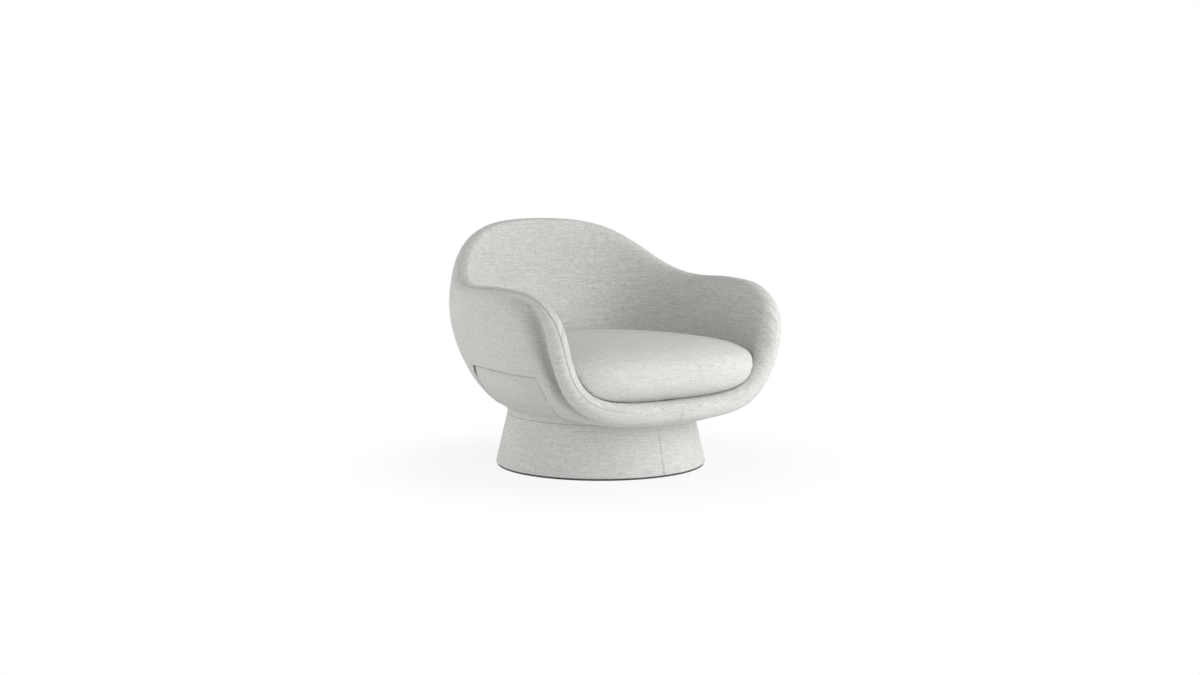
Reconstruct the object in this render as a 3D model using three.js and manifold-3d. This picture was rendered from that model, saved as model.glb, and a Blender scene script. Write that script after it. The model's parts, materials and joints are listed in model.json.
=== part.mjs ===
import * as THREE from 'three';
import { mergeVertices } from 'three/addons/utils/BufferGeometryUtils.js';
import Module from 'manifold-3d';

// Pedestal swivel armchair: a moulded tub shell with a padded rolled rim, a loose crowned
// cushion and a fabric-covered truncated cone underneath. Millimetres, +Z up, the chair
// faces -Y, the origin is the middle of the pedestal on the floor. Left is -X.

const wasm = await Module();
wasm.setup();

// Fits
const seatGap = 0.3;          // between pieces that touch
const seamGap = 0.3;          // between two fabric panels at a seam
const holeClearance = 0.4;    // round a bolt shank
const swivelGap = 3;          // between the turning collar and the pedestal rim
const collarGap = 1.8;          // between the collar and the fabric above it

// Shell wall: the middle surface runs from the rim down to a round neck
const rimHalfWidth = 429;
const rimFrontReach = 377;
const rimBackReach = 378;
const railHeight = 200;       // rim middle at the front rail
const backHeight = 709;       // rim middle at the back
const upperSwell = 100;       // scale of the outward swell below the rim
const upperDrop = 200;        // scale of the first guide loop's drop
const lowerSpread = 140;      // scale of the spread outside the neck
const lowerLift = 106;        // scale of the rise above the neck
const neckRadius = 278;
const neckHeight = 196;
const rollRadius = 36;        // half thickness of the padded wall and of the rim roll
const neckHalfThickness = 26;
const valleyDepth = 5.5;      // of the soft hollow below the roll, outside the arms
const frameThickness = 12;
const flangeRadius = 240;     // inner edge of the shell's bottom flange
const fabricThickness = 1.8;

// Side window, where a set-back panel shows
const windowTopHeight = 334;
const windowRecess = 6.3;
const windowFold = 4;         // how far the outer fabric tucks in at the window
const windowFoldWidth = 10;
const tuckRadius = 262;       // where the outer fabric ends under the seat

// Pedestal
const floorPadThickness = 5;
const floorPadRadius = 319;
const pedestalFootRadius = 323;
const pedestalRimRadius = 287;
const pedestalHeight = 157;
const collarRadius = 286;     // outer radius at its top
const collarInnerRadius = 268;
const baseFabricThickness = 2.6;
const baseWallThickness = 8;
const boardThickness = 18;
const postWidth = 45;
const postCircleRadius = 190;
const postCount = 4;

// Swivel bearing
const plateThickness = 6;
const lowerPlateRadius = 122;
const upperPlateRadius = 94;
const lowerPlateBore = 57;
const upperPlateBore = 24;
const raceRadius = 72;
const ballRadius = 4;
const raceClearance = 0.5;
const raceOpening = 3.6;      // between the two plates
const ballCount = 12;
const cageThickness = 1.6;
const cageHalfWidth = 8;
const lowerBoltCircle = 108;
const upperBoltCircle = 44;
const boltCount = 4;
const boltRadius = 4;
const boltHeadRadius = 7;
const boltHeadHeight = 3.6;
const boltEndMargin = 1;      // shank ends this far short of the board's far face
const topBoardBore = 60;
const seatBoardRadius = 254;

// Deck and cushion
const deckWallGap = 30;       // the deck's edge inside the neck's middle surface
const deckTopHeight = 229.5;
const deckClothThickness = 1;
const cushionReach = 446;
const cushionTopHeight = 401;
const cushionEquatorHeight = 304;
const cushionEquatorRise = 36;  // of the equator along the arms
const cushionFabricThickness = 1.6;
const deckRadius = neckRadius - deckWallGap;

// Resolution
const halfColumns = 22;
const cushionColumns = 36;
const roundSegments = 48;
const hiddenSegments = 24;
const boltSegments = 8;
const raceSteps = 4;
const ballSegments = 8;

// Guide loop shares, front centre to back centre, at equal steps of the loop
const rimSideShares = [0, .35, .648, .811, .902, .935, .958, .977, 1, .991, .879, .583, 0];
const rimFrontShares = [1, .995, .955, .902, .907, .854, .658, .387, .101];
const rimBackShares = [.201, .545, .868, 1];
const rimRiseShares = [-.003, .001, .038, .158, .35, .538, .617, .637, .639, .629, .693, .976, 1];
const swellShares = [-.14, -.2, -.36, -.4, -.18, .08, .15, .12, .09, .18, .45, .66, .74];
const dropShares = [0, 0, .05, .24, .47, .635, .65, .625, .62, .66, .79, .94, .995];
const spreadShares = [.571, .514, .37, .38, .65, .921, .986, .86, .71, .6, .55, .53, .514];
const liftShares = [-.113, -.075, .057, .208, .321, .387, .49, .6, .5, .53, .72, .93, 1];
const neckTurnShares = [0, .111, .211, .289, .344, .4, .456, .528, .611, .706, .806, .9, 1];
const upperTurnShare = .45;   // turn of the first guide loop towards the neck's angles
const lowerTurnShare = .85;
const thinFromShare = .55;    // where the wall starts to thin towards the neck
const slimShare = .83;        // of the rail roll's thickness against the arms'
const slimEndShare = .18;     // where on the half loop the roll starts to thicken
const fullStartShare = .35;   // and where it is full

// Places on the half loop, as shares of it
const windowFrontShare = .3625;
const windowFrontFootShare = .28;
const windowBackShare = .658;
const windowBackFootShare = .655;
const windowBendPower = 6;    // how soon its upright edges turn from the top corners
const armSeamShare = .79;

// Rows down the outer wall, in shares; the window's top edge is on one of them
const windowRowShare = .6;
const windowMarginShare = .025;
const valleyRowShare = .27;   // the hollow's middle, and how far it spreads, down the wall
const valleyWidthShare = .24;
const valleySpanShares = [.12, .22, .42, .54];  // where on the half loop it starts, is full and ends
const outerRowShares = [1, .84, .69, windowRowShare, windowRowShare - windowMarginShare,
  windowRowShare - 2 * windowMarginShare, .42, valleyRowShare, 0];
const rollAngleShares = [.18, .361, .52, .68, .84, 1];
const rimSeamIndex = 1;       // the rim seam lies on this roll row
const railSeamShare = .6;     // its angle share along the front rail
const seamClimbShare = .1;
const innerRowShares = [.28, .52, .76, 1];
const crestStartShare = .52;  // roll angle share and wall row between which the inner edge is eased
const crestEndShare = .52;
const crestSplitShare = .3;   // share of that curve which takes the place of the roll
const crestRowShare = 1.5;
const crestHandleShare = .8;  // of the roll's radius
const crestWallShare = .39;   // of the curve's span
const crestSpanShares = [.35, .6];  // half-loop places where the easing starts and is full

// Cushion shares, every 15 degrees from front to back, and its edge profile
const cushionReachShares = [.872, .908, .985, 1.1, .86, .82, .77, .735, .705, .69, .675, .665, .66];
const cushionSideShares = [0, .1, .6, 1, 1, .9, .8, .7, .6, .6, .6, .6, .6];
const frontEdgeShares = [[.8, 0], [.9, .006], [.95, .03], [.98, .13], [.995, .42], [1, 1]];
const sideEdgeShares = [[.6, 0], [.7, .13], [.81, .33], [.88, .5], [.95, .72], [1, 1]];
const crownShares = [[.985, .26], [.94, .52], [.86, .72], [.72, .87], [.5, .96], [.25, .995], [0, 1]];
const cushionFloorShare = .4;

const halfSteps = rimSideShares.length - 1;
const loopSteps = 2 * halfSteps;

// Colours from the photograph
const linen = new THREE.MeshStandardMaterial({ color: 0xcfd0cb, roughness: 0.92, metalness: 0 });
const paleLinen = new THREE.MeshStandardMaterial({ color: 0xd8d8d4, roughness: 0.92, metalness: 0 });
const foam = new THREE.MeshStandardMaterial({ color: 0xe6dfc8, roughness: 0.95, metalness: 0 });
const plywood = new THREE.MeshStandardMaterial({ color: 0xc9a878, roughness: 0.7, metalness: 0 });
const steel = new THREE.MeshStandardMaterial({ color: 0x8b8d90, roughness: 0.4, metalness: 0.9 });
const darkPad = new THREE.MeshStandardMaterial({ color: 0x4a4b4d, roughness: 0.85, metalness: 0 });
const darkCloth = new THREE.MeshStandardMaterial({ color: 0x3a3a3c, roughness: 0.95, metalness: 0 });
const zipMaterial = new THREE.MeshStandardMaterial({ color: 0xb9bab6, roughness: 0.7, metalness: 0 });

const chair = new THREE.Group();
const pedestal = new THREE.Group();
const seat = new THREE.Group();
chair.add(pedestal, seat);

function addMesh(group, name, geometry, material) {
  const mesh = new THREE.Mesh(geometry, material.clone());
  mesh.name = name;
  group.add(mesh);
  return mesh;
}

// Triangle soup with welded corners
class Soup {
  constructor() {
    this.points = [];
    this.keys = new Map();
    this.index = [];
  }
  corner(p) {
    const key = p.map(value => Math.round(value * 1e5)).join();
    if (!this.keys.has(key)) {
      this.keys.set(key, this.points.length / 3);
      this.points.push(...p);
    }
    return this.keys.get(key);
  }
  tri(a, b, c) {
    const corners = [this.corner(a), this.corner(b), this.corner(c)];
    if (new Set(corners).size === 3) this.index.push(...corners);
  }
  // a-b-c-d round the face; the cut runs a-c, or b-d when turned
  quad(a, b, c, d, turned = false) {
    if (turned) {
      this.tri(a, b, d);
      this.tri(b, c, d);
    } else {
      this.tri(a, b, c);
      this.tri(a, c, d);
    }
  }
  geometry() {
    const geometry = new THREE.BufferGeometry();
    geometry.setAttribute('position', new THREE.Float32BufferAttribute(this.points, 3));
    geometry.setIndex(this.index);
    return outward(geometry);
  }
}

// Faces are turned outward if the signed volume is negative
function outward(geometry) {
  const position = geometry.getAttribute('position');
  const index = geometry.getIndex().array;
  const corner = k => new THREE.Vector3().fromBufferAttribute(position, index[k]);
  let volume = 0;
  for (let k = 0; k < index.length; k += 3) {
    volume += corner(k).dot(corner(k + 1).cross(corner(k + 2)));
  }
  if (volume < 0) {
    for (let k = 0; k < index.length; k += 3) {
      [index[k], index[k + 1]] = [index[k + 1], index[k]];
    }
  }
  geometry.computeVertexNormals();
  return geometry;
}

// A cloth panel with thickness: cells of a grid that are kept, closed round every free edge
function panel(rows, columns, outer, inner, kept, { wrap = false, turned = false } = {}) {
  const soup = new Soup();
  const column = j => wrap ? (j + columns) % columns : j;
  const cells = wrap ? columns : columns - 1;
  const on = (i, j) => {
    if (i < 0 || i >= rows - 1) return false;
    if (!wrap && (j < 0 || j >= cells)) return false;
    return kept(i, column(j));
  };
  const outerAt = (i, j) => outer(i, column(j));
  const innerAt = (i, j) => inner(i, column(j));
  for (let i = 0; i < rows - 1; i++) {
    for (let j = 0; j < cells; j++) {
      if (!on(i, j)) continue;
      soup.quad(outerAt(i, j), outerAt(i, j + 1), outerAt(i + 1, j + 1), outerAt(i + 1, j), turned);
      soup.quad(innerAt(i, j), innerAt(i + 1, j), innerAt(i + 1, j + 1), innerAt(i, j + 1), turned);
      const edges = [[i, j, i, j + 1, i - 1, j], [i + 1, j + 1, i + 1, j, i + 1, j],
        [i + 1, j, i, j, i, j - 1], [i, j + 1, i + 1, j + 1, i, j + 1]];
      for (const [i0, j0, i1, j1, iNext, jNext] of edges) {
        if (on(iNext, jNext)) continue;
        soup.quad(outerAt(i1, j1), outerAt(i0, j0), innerAt(i0, j0), innerAt(i1, j1));
      }
    }
  }
  return soup.geometry();
}

// A solid swept round the loop: one closed section of points per column
function ring(sections) {
  const soup = new Soup();
  const columns = sections.length;
  const count = sections[0].length;
  for (let j = 0; j < columns; j++) {
    const here = sections[j];
    const next = sections[(j + 1) % columns];
    for (let i = 0; i < count; i++) {
      const up = (i + 1) % count;
      soup.quad(here[i], next[i], next[up], here[up]);
    }
  }
  return soup.geometry();
}

// Shell surfaces
const mirrored = (half, sign) => half.concat(half.slice(1, -1).reverse().map(value => sign * value));

function splineAt(loop, t) {
  const cell = Math.floor(t);
  const u = t - cell;
  const at = k => loop[(cell + k + loop.length) % loop.length];
  const weights = [(1 - u) ** 3, 3 * u ** 3 - 6 * u * u + 4, 1 + 3 * u + 3 * u * u - 3 * u ** 3, u ** 3];
  return weights.reduce((sum, weight, k) => sum + weight * at(k - 1), 0) / 6;
}

// The four guide loops as control rings: rim, two swells and the neck
function guideLoops() {
  const forward = rimFrontShares.map(share => share * rimFrontReach)
    .concat(rimBackShares.map(share => -share * rimBackReach));
  const loops = [[], [], [], []];
  for (let k = 0; k <= halfSteps; k++) {
    const side = rimSideShares[k] * rimHalfWidth;
    const height = railHeight + rimRiseShares[k] * (backHeight - railHeight);
    const radius = Math.hypot(side, forward[k]);
    const angle = Math.atan2(side, forward[k]);
    const neckAngle = neckTurnShares[k] * Math.PI;
    const place = (r, a, z) => [r * Math.sin(a), -r * Math.cos(a), z];
    loops[0].push([side, -forward[k], height]);
    loops[1].push(place(radius + swellShares[k] * upperSwell,
      angle + upperTurnShare * (neckAngle - angle), height - dropShares[k] * upperDrop));
    loops[2].push(place(neckRadius + spreadShares[k] * lowerSpread,
      angle + lowerTurnShare * (neckAngle - angle), neckHeight + liftShares[k] * lowerLift));
    loops[3].push(place(neckRadius, neckAngle, neckHeight));
  }
  const axis = (loop, k, sign) => mirrored(loop.map(point => point[k]), sign);
  return loops.map(loop => [axis(loop, 0, -1), axis(loop, 1, 1), axis(loop, 2, 1)]);
}
const guides = guideLoops();

function middle(t, v) {
  const weights = [(1 - v) ** 3, 3 * v * (1 - v) ** 2, 3 * v * v * (1 - v), v ** 3];
  const point = new THREE.Vector3();
  guides.forEach((loop, k) => {
    point.addScaledVector(new THREE.Vector3(...loop.map(axis => splineAt(axis, t))), weights[k]);
  });
  return point;
}

// Outward normal, rim direction and run down the wall at a place on the middle surface
const frameCache = new Map();
function wallFrame(t, v) {
  const key = t.toFixed(6) + ' ' + v.toFixed(6);
  if (frameCache.has(key)) return frameCache.get(key);
  const step = 1e-3;
  const low = Math.max(0, v - step);
  const high = Math.min(1, v + step);
  const along = middle(t + step, v).sub(middle(t - step, v)).normalize();
  const down = middle(t, high).sub(middle(t, low)).normalize();
  const normal = new THREE.Vector3().crossVectors(along, down).normalize();
  const frame = { point: middle(t, v), along, down, normal: normal.negate() };
  frameCache.set(key, frame);
  return frame;
}
const outwardSign = Math.sign(-wallFrame(0, 0.001).normal.z);

function halfThickness(t, v) {
  const place = Math.min(Math.abs(t), Math.abs(loopSteps - t)) / halfSteps;
  const full = THREE.MathUtils.smoothstep(place, slimEndShare, fullStartShare);
  const share = THREE.MathUtils.lerp(THREE.MathUtils.lerp(slimShare, 1, full), 1,
    THREE.MathUtils.smoothstep(v, 0, thinFromShare));
  const u = THREE.MathUtils.smoothstep(v, thinFromShare, 1);
  return rollRadius * share - u * (rollRadius - neckHalfThickness);
}

// A point at a signed distance from the middle surface, outward positive
function offWall(t, v, distance) {
  const { point, normal } = wallFrame(t, v);
  return point.clone().addScaledVector(normal, outwardSign * distance).toArray();
}

// A point of the roll: angle 0 faces out, half a turn faces in
function onRoll(t, angle, radius) {
  const { point, along, down, normal } = wallFrame(t, 0);
  const up = down.clone().negate();
  const skew = Math.max(new THREE.Vector3().crossVectors(up, along).length(), 0.5);
  return point.clone().addScaledVector(normal, outwardSign * Math.cos(angle) * radius)
    .addScaledVector(up, Math.sin(angle) * radius / skew).toArray();
}

// Columns round the loop
function windowTopRow(t) {
  let low = 0;
  let high = 1;
  for (let k = 0; k < 30; k++) {
    const v = (low + high) / 2;
    if (middle(t, v).z > windowTopHeight) low = v;
    else high = v;
  }
  return low;
}

// Half-loop places: even shares, with the window's edges, folds and the arm seam on the list
function halfPlaces() {
  const frontT = windowFrontShare * halfSteps;
  const backT = windowBackShare * halfSteps;
  const foldT = t => {
    const v = windowTopRow(t);
    return windowFoldWidth / middle(t + 0.5, v).distanceTo(middle(t - 0.5, v));
  };
  const frontFold = foldT(frontT);
  const backFold = foldT(backT);
  const fixed = [0, frontT - 2 * frontFold, frontT - frontFold, frontT, frontT + frontFold,
    backT, backT + backFold, armSeamShare * halfSteps, halfSteps]
    .sort((a, b) => a - b);
  const places = [];
  for (let k = 0; k < fixed.length - 1; k++) {
    const span = fixed[k + 1] - fixed[k];
    const parts = Math.max(1, Math.round(span / halfSteps * halfColumns));
    for (let n = 0; n < parts; n++) places.push(fixed[k] + span * n / parts);
  }
  places.push(halfSteps);
  return { places, frontT, backT };
}

function wallColumns() {
  const { places, frontT, backT } = halfPlaces();
  const frontFoot = windowFrontFootShare * halfSteps;
  const backFoot = windowBackFootShare * halfSteps;
  const shiftAt = t => {
    if (t < frontT) return (frontFoot - frontT) * t / frontT;
    if (t > backT) return (backFoot - backT) * (halfSteps - t) / (halfSteps - backT);
    const u = (t - frontT) / (backT - frontT);
    return THREE.MathUtils.lerp(frontFoot - frontT, backFoot - backT, u);
  };
  const half = places.map(t => ({
    top: t,
    foot: t + shiftAt(t),
    windowRow: windowTopRow(THREE.MathUtils.clamp(t, frontT, backT)),
  }));
  const other = half.slice(1, -1).reverse().map(column => ({
    top: loopSteps - column.top, foot: loopSteps - column.foot, windowRow: column.windowRow,
  }));
  const near = t => half.reduce((best, column, k) =>
    Math.abs(column.top - t) < Math.abs(half[best].top - t) ? k : best, 0);
  return { columns: half.concat(other), last: half.length - 1,
    front: near(frontT), back: near(backT), seam: near(armSeamShare * halfSteps) };
}
const wall = wallColumns();

function wallPlace(column, row) {
  if (row <= windowRowShare) return [column.top, row / windowRowShare * column.windowRow];
  const u = (row - windowRowShare) / (1 - windowRowShare);
  return [THREE.MathUtils.lerp(column.top, column.foot, 1 - (1 - u) ** windowBendPower),
    THREE.MathUtils.lerp(column.windowRow, 1, u)];
}
const columnAt = j => wall.columns[(j + wall.columns.length) % wall.columns.length];

// A column moved a little along the loop, for the edge at a seam
function nudged(column, distance) {
  const speed = middle(column.top + 0.5, 0).distanceTo(middle(column.top - 0.5, 0));
  const shift = distance / speed;
  return { ...column, top: column.top + shift, foot: column.foot + shift };
}

// The hollow beside the roll, a smooth bump of depth over the rows and along the arm
function valleyAt(column, row) {
  const place = Math.min(column.top, loopSteps - column.top) / halfSteps;
  const [start, full, fading, end] = valleySpanShares;
  const along = THREE.MathUtils.smoothstep(place, start, full)
    * (1 - THREE.MathUtils.smoothstep(place, fading, end));
  const across = Math.max(0, 1 - Math.abs(row - valleyRowShare) / valleyWidthShare);
  return valleyDepth * along * THREE.MathUtils.smoothstep(across, 0, 1);
}

// Points of the padded wall at a depth below its finished face
function outerSkin(column, row, depth) {
  const [t, v] = wallPlace(column, row);
  return offWall(t, v, halfThickness(t, v) - valleyAt(column, row) - depth);
}
function innerSkin(column, v, depth) {
  const wallPoint = offWall(column.top, v, depth - halfThickness(column.top, v));
  if (v >= crestEndShare) return wallPoint;
  const share = THREE.MathUtils.lerp(crestSplitShare, 1, v / crestEndShare);
  return eased(column, wallPoint, share, depth);
}

// One easy curve from the crest of the roll down to the inner wall, for the back and the rear arms
function crestCurve(t, share, depth) {
  const step = 1e-3;
  const radius = halfThickness(t, 0) - depth;
  const rollPoint = angle => new THREE.Vector3(...onRoll(t, angle * Math.PI, radius));
  const wallPoint = v => new THREE.Vector3(...offWall(t, v, depth - halfThickness(t, v)));
  const start = rollPoint(crestStartShare);
  const end = wallPoint(crestEndShare);
  const inwards = rollPoint(crestStartShare + step).sub(start).setLength(crestHandleShare * radius);
  const upwards = wallPoint(crestEndShare - step).sub(end)
    .setLength(crestWallShare * start.distanceTo(end));
  return new THREE.CubicBezierCurve3(start, start.clone().add(inwards), end.clone().add(upwards), end)
    .getPoint(share);
}

function eased(column, point, share, depth) {
  const place = Math.min(column.top, loopSteps - column.top) / halfSteps;
  const full = THREE.MathUtils.smoothstep(place, ...crestSpanShares);
  if (full === 0) return point;
  return new THREE.Vector3(...point).lerp(crestCurve(column.top, share, depth), full).toArray();
}
// The rim seam climbs from the front of the rail to the outer side of the arms
function rollSkin(column, share, depth) {
  const place = Math.min(Math.abs(column.top), Math.abs(loopSteps - column.top)) / halfSteps;
  const full = THREE.MathUtils.smoothstep(place, seamClimbShare, fullStartShare);
  const seam = rollAngleShares[rimSeamIndex];
  const seamHere = THREE.MathUtils.lerp(railSeamShare, seam, full);
  const angle = share < seam ? share / seam * seamHere
    : THREE.MathUtils.lerp(seamHere, 1, (share - seam) / (1 - seam));
  const point = onRoll(column.top, angle * Math.PI, halfThickness(column.top, 0) - depth);
  if (share <= crestStartShare) return point;
  const over = (share - crestStartShare) / (1 - crestStartShare);
  return eased(column, point, crestSplitShare * over ** crestRowShare, depth);
}

const windowBottomRows = outerRowShares.indexOf(windowRowShare);
const inWindowHalf = (k, margin) => k >= wall.front - margin && k <= wall.back + margin;
const halfIndex = j => {
  const k = (j + wall.columns.length) % wall.columns.length;
  return k <= wall.last ? k : wall.columns.length - k;
};

function frameSections() {
  const half = frameThickness / 2;
  return wall.columns.map(column => [
    ...outerRowShares.map(row => {
      const [t, v] = wallPlace(column, row);
      return offWall(t, v, half);
    }),
    onRoll(column.top, Math.PI / 2, half),
    ...[0, ...innerRowShares].map(v => offWall(column.top, v, -half)),
    flangePoint(column, half),
    flangePoint(column, -half),
  ]);
}
// A point under the neck at the column's angle, on a true circle
function neckPoint(column, radius, z) {
  const neck = middle(column.foot, 1);
  const angle = Math.atan2(neck.y, neck.x);
  return [radius * Math.cos(angle), radius * Math.sin(angle), z];
}
const flangePoint = (column, rise) => neckPoint(column, flangeRadius, neckHeight + rise);

// One column of the foam: its outer line over the roll, and the line along the frame's groove
function foamSection({ column, k }) {
  const depth = fabricThickness + seatGap;
  const windowDepth = windowRecess + depth;
  const groove = frameThickness / 2 + seatGap;
  const set = inWindowHalf(k, 1);
  return {
    skin: [
      ...outerRowShares.map((row, i) =>
        outerSkin(column, row, set && i <= windowBottomRows + 1 ? windowDepth : depth)),
      ...rollAngleShares.map(share => rollSkin(column, share, depth)),
      ...innerRowShares.map(v => innerSkin(column, v, depth)),
    ],
    groove: [
      ...outerRowShares.map(row => {
        const [t, v] = wallPlace(column, row);
        return offWall(t, v, groove);
      }),
      onRoll(column.top, Math.PI / 2, groove),
      ...[0, ...innerRowShares].map(v => offWall(column.top, v, -groove)),
    ],
  };
}

// The groove point across the foam from each skin point, for the cut ends
const groovePartners = [
  ...outerRowShares.keys(),
  ...rollAngleShares.map(share => outerRowShares.length - 1 + Math.round(2 * share)),
  ...innerRowShares.map((_, i) => outerRowShares.length + 2 + i),
];

function foamPiece(list) {
  const soup = new Soup();
  const sections = list.map((entry, n) => foamSection({ ...entry, column: trimmedAt(list, n, 1) }));
  const rings = sections.map(({ skin, groove }) => [...skin, ...[...groove].reverse()]);
  const skinCount = sections[0].skin.length;
  for (let j = 1; j < rings.length; j++) {
    const here = rings[j - 1];
    const next = rings[j];
    here.forEach((point, i) => {
      const up = (i + 1) % here.length;
      soup.quad(point, next[i], next[up], here[up], i >= skinCount);
    });
  }
  const first = sections[0];
  const last = sections[sections.length - 1];
  for (let i = 0; i < skinCount - 1; i++) {
    const [low, high] = [groovePartners[i], groovePartners[i + 1]];
    soup.quad(first.skin[i], first.skin[i + 1], first.groove[high], first.groove[low]);
    soup.quad(last.groove[low], last.groove[high], last.skin[i + 1], last.skin[i], true);
  }
  return soup.geometry();
}

// Columns by their place round the loop
function columnList(first, last) {
  const list = [];
  for (let j = first; j <= last; j++) list.push({ k: halfIndex(j), column: columnAt(j) });
  return list;
}

function buildShellCore() {
  addMesh(seat, 'shell_frame', ring(frameSections()), plywood);
  const total = wall.columns.length;
  const spans = { arm_right: [0, wall.seam], back: [wall.seam, total - wall.seam],
    arm_left: [total - wall.seam, total] };
  for (const [name, [first, last]] of Object.entries(spans)) {
    addMesh(seat, 'foam_' + name, foamPiece(columnList(first, last)), foam);
  }
}

// Fabric over the shell
const coverSide = { left: -1, right: 1 };

// Column list of one side: the loop runs front to back on +X and back again on -X
function sideColumns(side, first, last) {
  const list = [];
  for (let k = first; k <= last; k++) list.push(k);
  return list.map(k => {
    const index = side > 0 ? k : wall.columns.length - k;
    return { k, column: columnAt(index) };
  });
}

function trimmedAt(list, n, side) {
  const { column } = list[n];
  if (n === 0) return nudged(column, side * seamGap / 2);
  if (n === list.length - 1) return nudged(column, -side * seamGap / 2);
  return column;
}

function tuckPoint(column, depth) {
  return neckPoint(column, tuckRadius, neckHeight - neckHalfThickness + depth);
}

function outsideCover(side) {
  const list = sideColumns(side, 0, wall.last);
  const tail = 1;
  const rollRows = rimSeamIndex + 1;
  const rows = tail + outerRowShares.length + rollRows;
  const inNotch = (i, k) => i < tail + windowBottomRows && k >= wall.front && k < wall.back;
  const onFold = (i, k) => {
    const below = i <= tail + windowBottomRows;
    const edge = k === wall.front || k === wall.back;
    const top = i === tail + windowBottomRows && k > wall.front && k < wall.back;
    return (below && edge) || top;
  };
  const seamShift = seamGap / 2 / rollRadius / Math.PI;
  const pointAt = (i, n, depth) => {
    const column = trimmedAt(list, n, side);
    const extra = onFold(i, list[n].k) ? windowFold : 0;
    if (i < tail) return tuckPoint(column, depth + extra);
    const row = i - tail;
    if (row < outerRowShares.length) return outerSkin(column, outerRowShares[row], depth + extra);
    const roll = row - outerRowShares.length;
    const shift = roll === rimSeamIndex ? seamShift : 0;
    return rollSkin(column, rollAngleShares[roll] - shift, depth);
  };
  return panel(rows, list.length, (i, n) => pointAt(i, n, 0),
    (i, n) => pointAt(i, n, fabricThickness), (i, n) => !inNotch(i, list[n].k),
    { turned: side < 0 });
}

// The set-back panel reaches one fold width behind the outer fabric
function sidePanel(side) {
  const list = sideColumns(side, wall.front - 1, wall.back + 1);
  const rows = 1 + windowBottomRows + 2;
  const pointAt = (i, n, depth) => {
    if (i === 0) return tuckPoint(list[n].column, depth);
    return outerSkin(list[n].column, outerRowShares[i - 1], depth);
  };
  return panel(rows, list.length, (i, n) => pointAt(i, n, windowRecess),
    (i, n) => pointAt(i, n, windowRecess + fabricThickness), () => true, { turned: side < 0 });
}

// The band between the shell's neck and the pedestal; its top follows the fabric above
function collarSections() {
  return wall.columns.map((column, j) => {
    const k = halfIndex(j);
    const atEdge = k === wall.front || k === wall.back;
    let depth = 0;
    if (atEdge) depth = windowFold;
    else if (inWindowHalf(k, 0)) depth = windowRecess;
    const line = [tuckPoint(column, depth),
      ...outerRowShares.slice(0, windowBottomRows).map(row => outerSkin(column, row, depth))]
      .map(([x, y, z]) => [Math.hypot(x, y), z]);
    const topAt = radius => {
      const n = line.findIndex(([r]) => r > radius);
      const [r0, z0] = line[n - 1];
      const [r1, z1] = line[n];
      return THREE.MathUtils.lerp(z0, z1, (radius - r0) / (r1 - r0)) - collarGap;
    };
    return [neckPoint(column, collarInnerRadius, collarBottom),
      neckPoint(column, pedestalRimRadius, collarBottom),
      neckPoint(column, collarRadius, topAt(collarRadius)),
      neckPoint(column, collarInnerRadius, topAt(collarInnerRadius))];
  });
}

function insideCover(list, side) {
  const rollRows = rollAngleShares.length - rimSeamIndex;
  const rows = rollRows + innerRowShares.length;
  const seamShift = seamGap / 2 / rollRadius / Math.PI;
  const pointAt = (i, n, depth) => {
    const column = trimmedAt(list, n, side);
    if (i < rollRows) {
      const shift = i === 0 ? seamShift : 0;
      return rollSkin(column, rollAngleShares[rimSeamIndex + i] + shift, depth);
    }
    return innerSkin(column, innerRowShares[i - rollRows], depth);
  };
  return panel(rows, list.length, (i, n) => pointAt(i, n, 0),
    (i, n) => pointAt(i, n, fabricThickness), () => true, { turned: side < 0 });
}

function buildCovers() {
  for (const [name, side] of Object.entries(coverSide)) {
    addMesh(seat, 'outside_' + name, outsideCover(side), linen);
    addMesh(seat, 'side_panel_' + name, sidePanel(side), paleLinen);
    addMesh(seat, 'inside_arm_' + name, insideCover(sideColumns(side, 0, wall.seam), side), linen);
  }
  const back = columnList(wall.seam, wall.columns.length - wall.seam);
  addMesh(seat, 'inside_back', insideCover(back, 1), linen);
  addMesh(seat, 'neck_collar', ring(collarSections()), linen);
}

// Solids of revolution, bolts and boards
function lathe(profile, segments = roundSegments) {
  const points = profile.map(([r, z]) => new THREE.Vector2(r, z));
  return new THREE.LatheGeometry(points, segments).rotateX(Math.PI / 2);
}
const closed = profile => [...profile, profile[0]];

function toManifold(geometry) {
  const bare = geometry.clone();
  bare.deleteAttribute('normal');
  bare.deleteAttribute('uv');
  const merged = mergeVertices(bare, 1e-4);
  const index = merged.getIndex().array;
  const kept = [];
  for (let k = 0; k < index.length; k += 3) {
    const corners = [index[k], index[k + 1], index[k + 2]];
    if (new Set(corners).size === 3) kept.push(...corners);
  }
  merged.setIndex(kept);
  outward(merged);
  return new wasm.Manifold(new wasm.Mesh({
    numProp: 3,
    vertProperties: new Float32Array(merged.getAttribute('position').array),
    triVerts: new Uint32Array(merged.getIndex().array),
  }));
}
function fromManifold(solid) {
  const mesh = solid.getMesh();
  const geometry = new THREE.BufferGeometry();
  geometry.setAttribute('position', new THREE.BufferAttribute(mesh.vertProperties, 3));
  geometry.setIndex(new THREE.BufferAttribute(mesh.triVerts, 1));
  geometry.computeVertexNormals();
  return geometry;
}
function cut(geometry, tools) {
  const solid = tools.reduce((body, tool) => body.subtract(toManifold(tool)), toManifold(geometry));
  return fromManifold(solid);
}

const onCircle = (radius, k, count, turn = 0) => {
  const angle = (k + turn) / count * 2 * Math.PI;
  return [radius * Math.cos(angle), radius * Math.sin(angle)];
};

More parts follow.
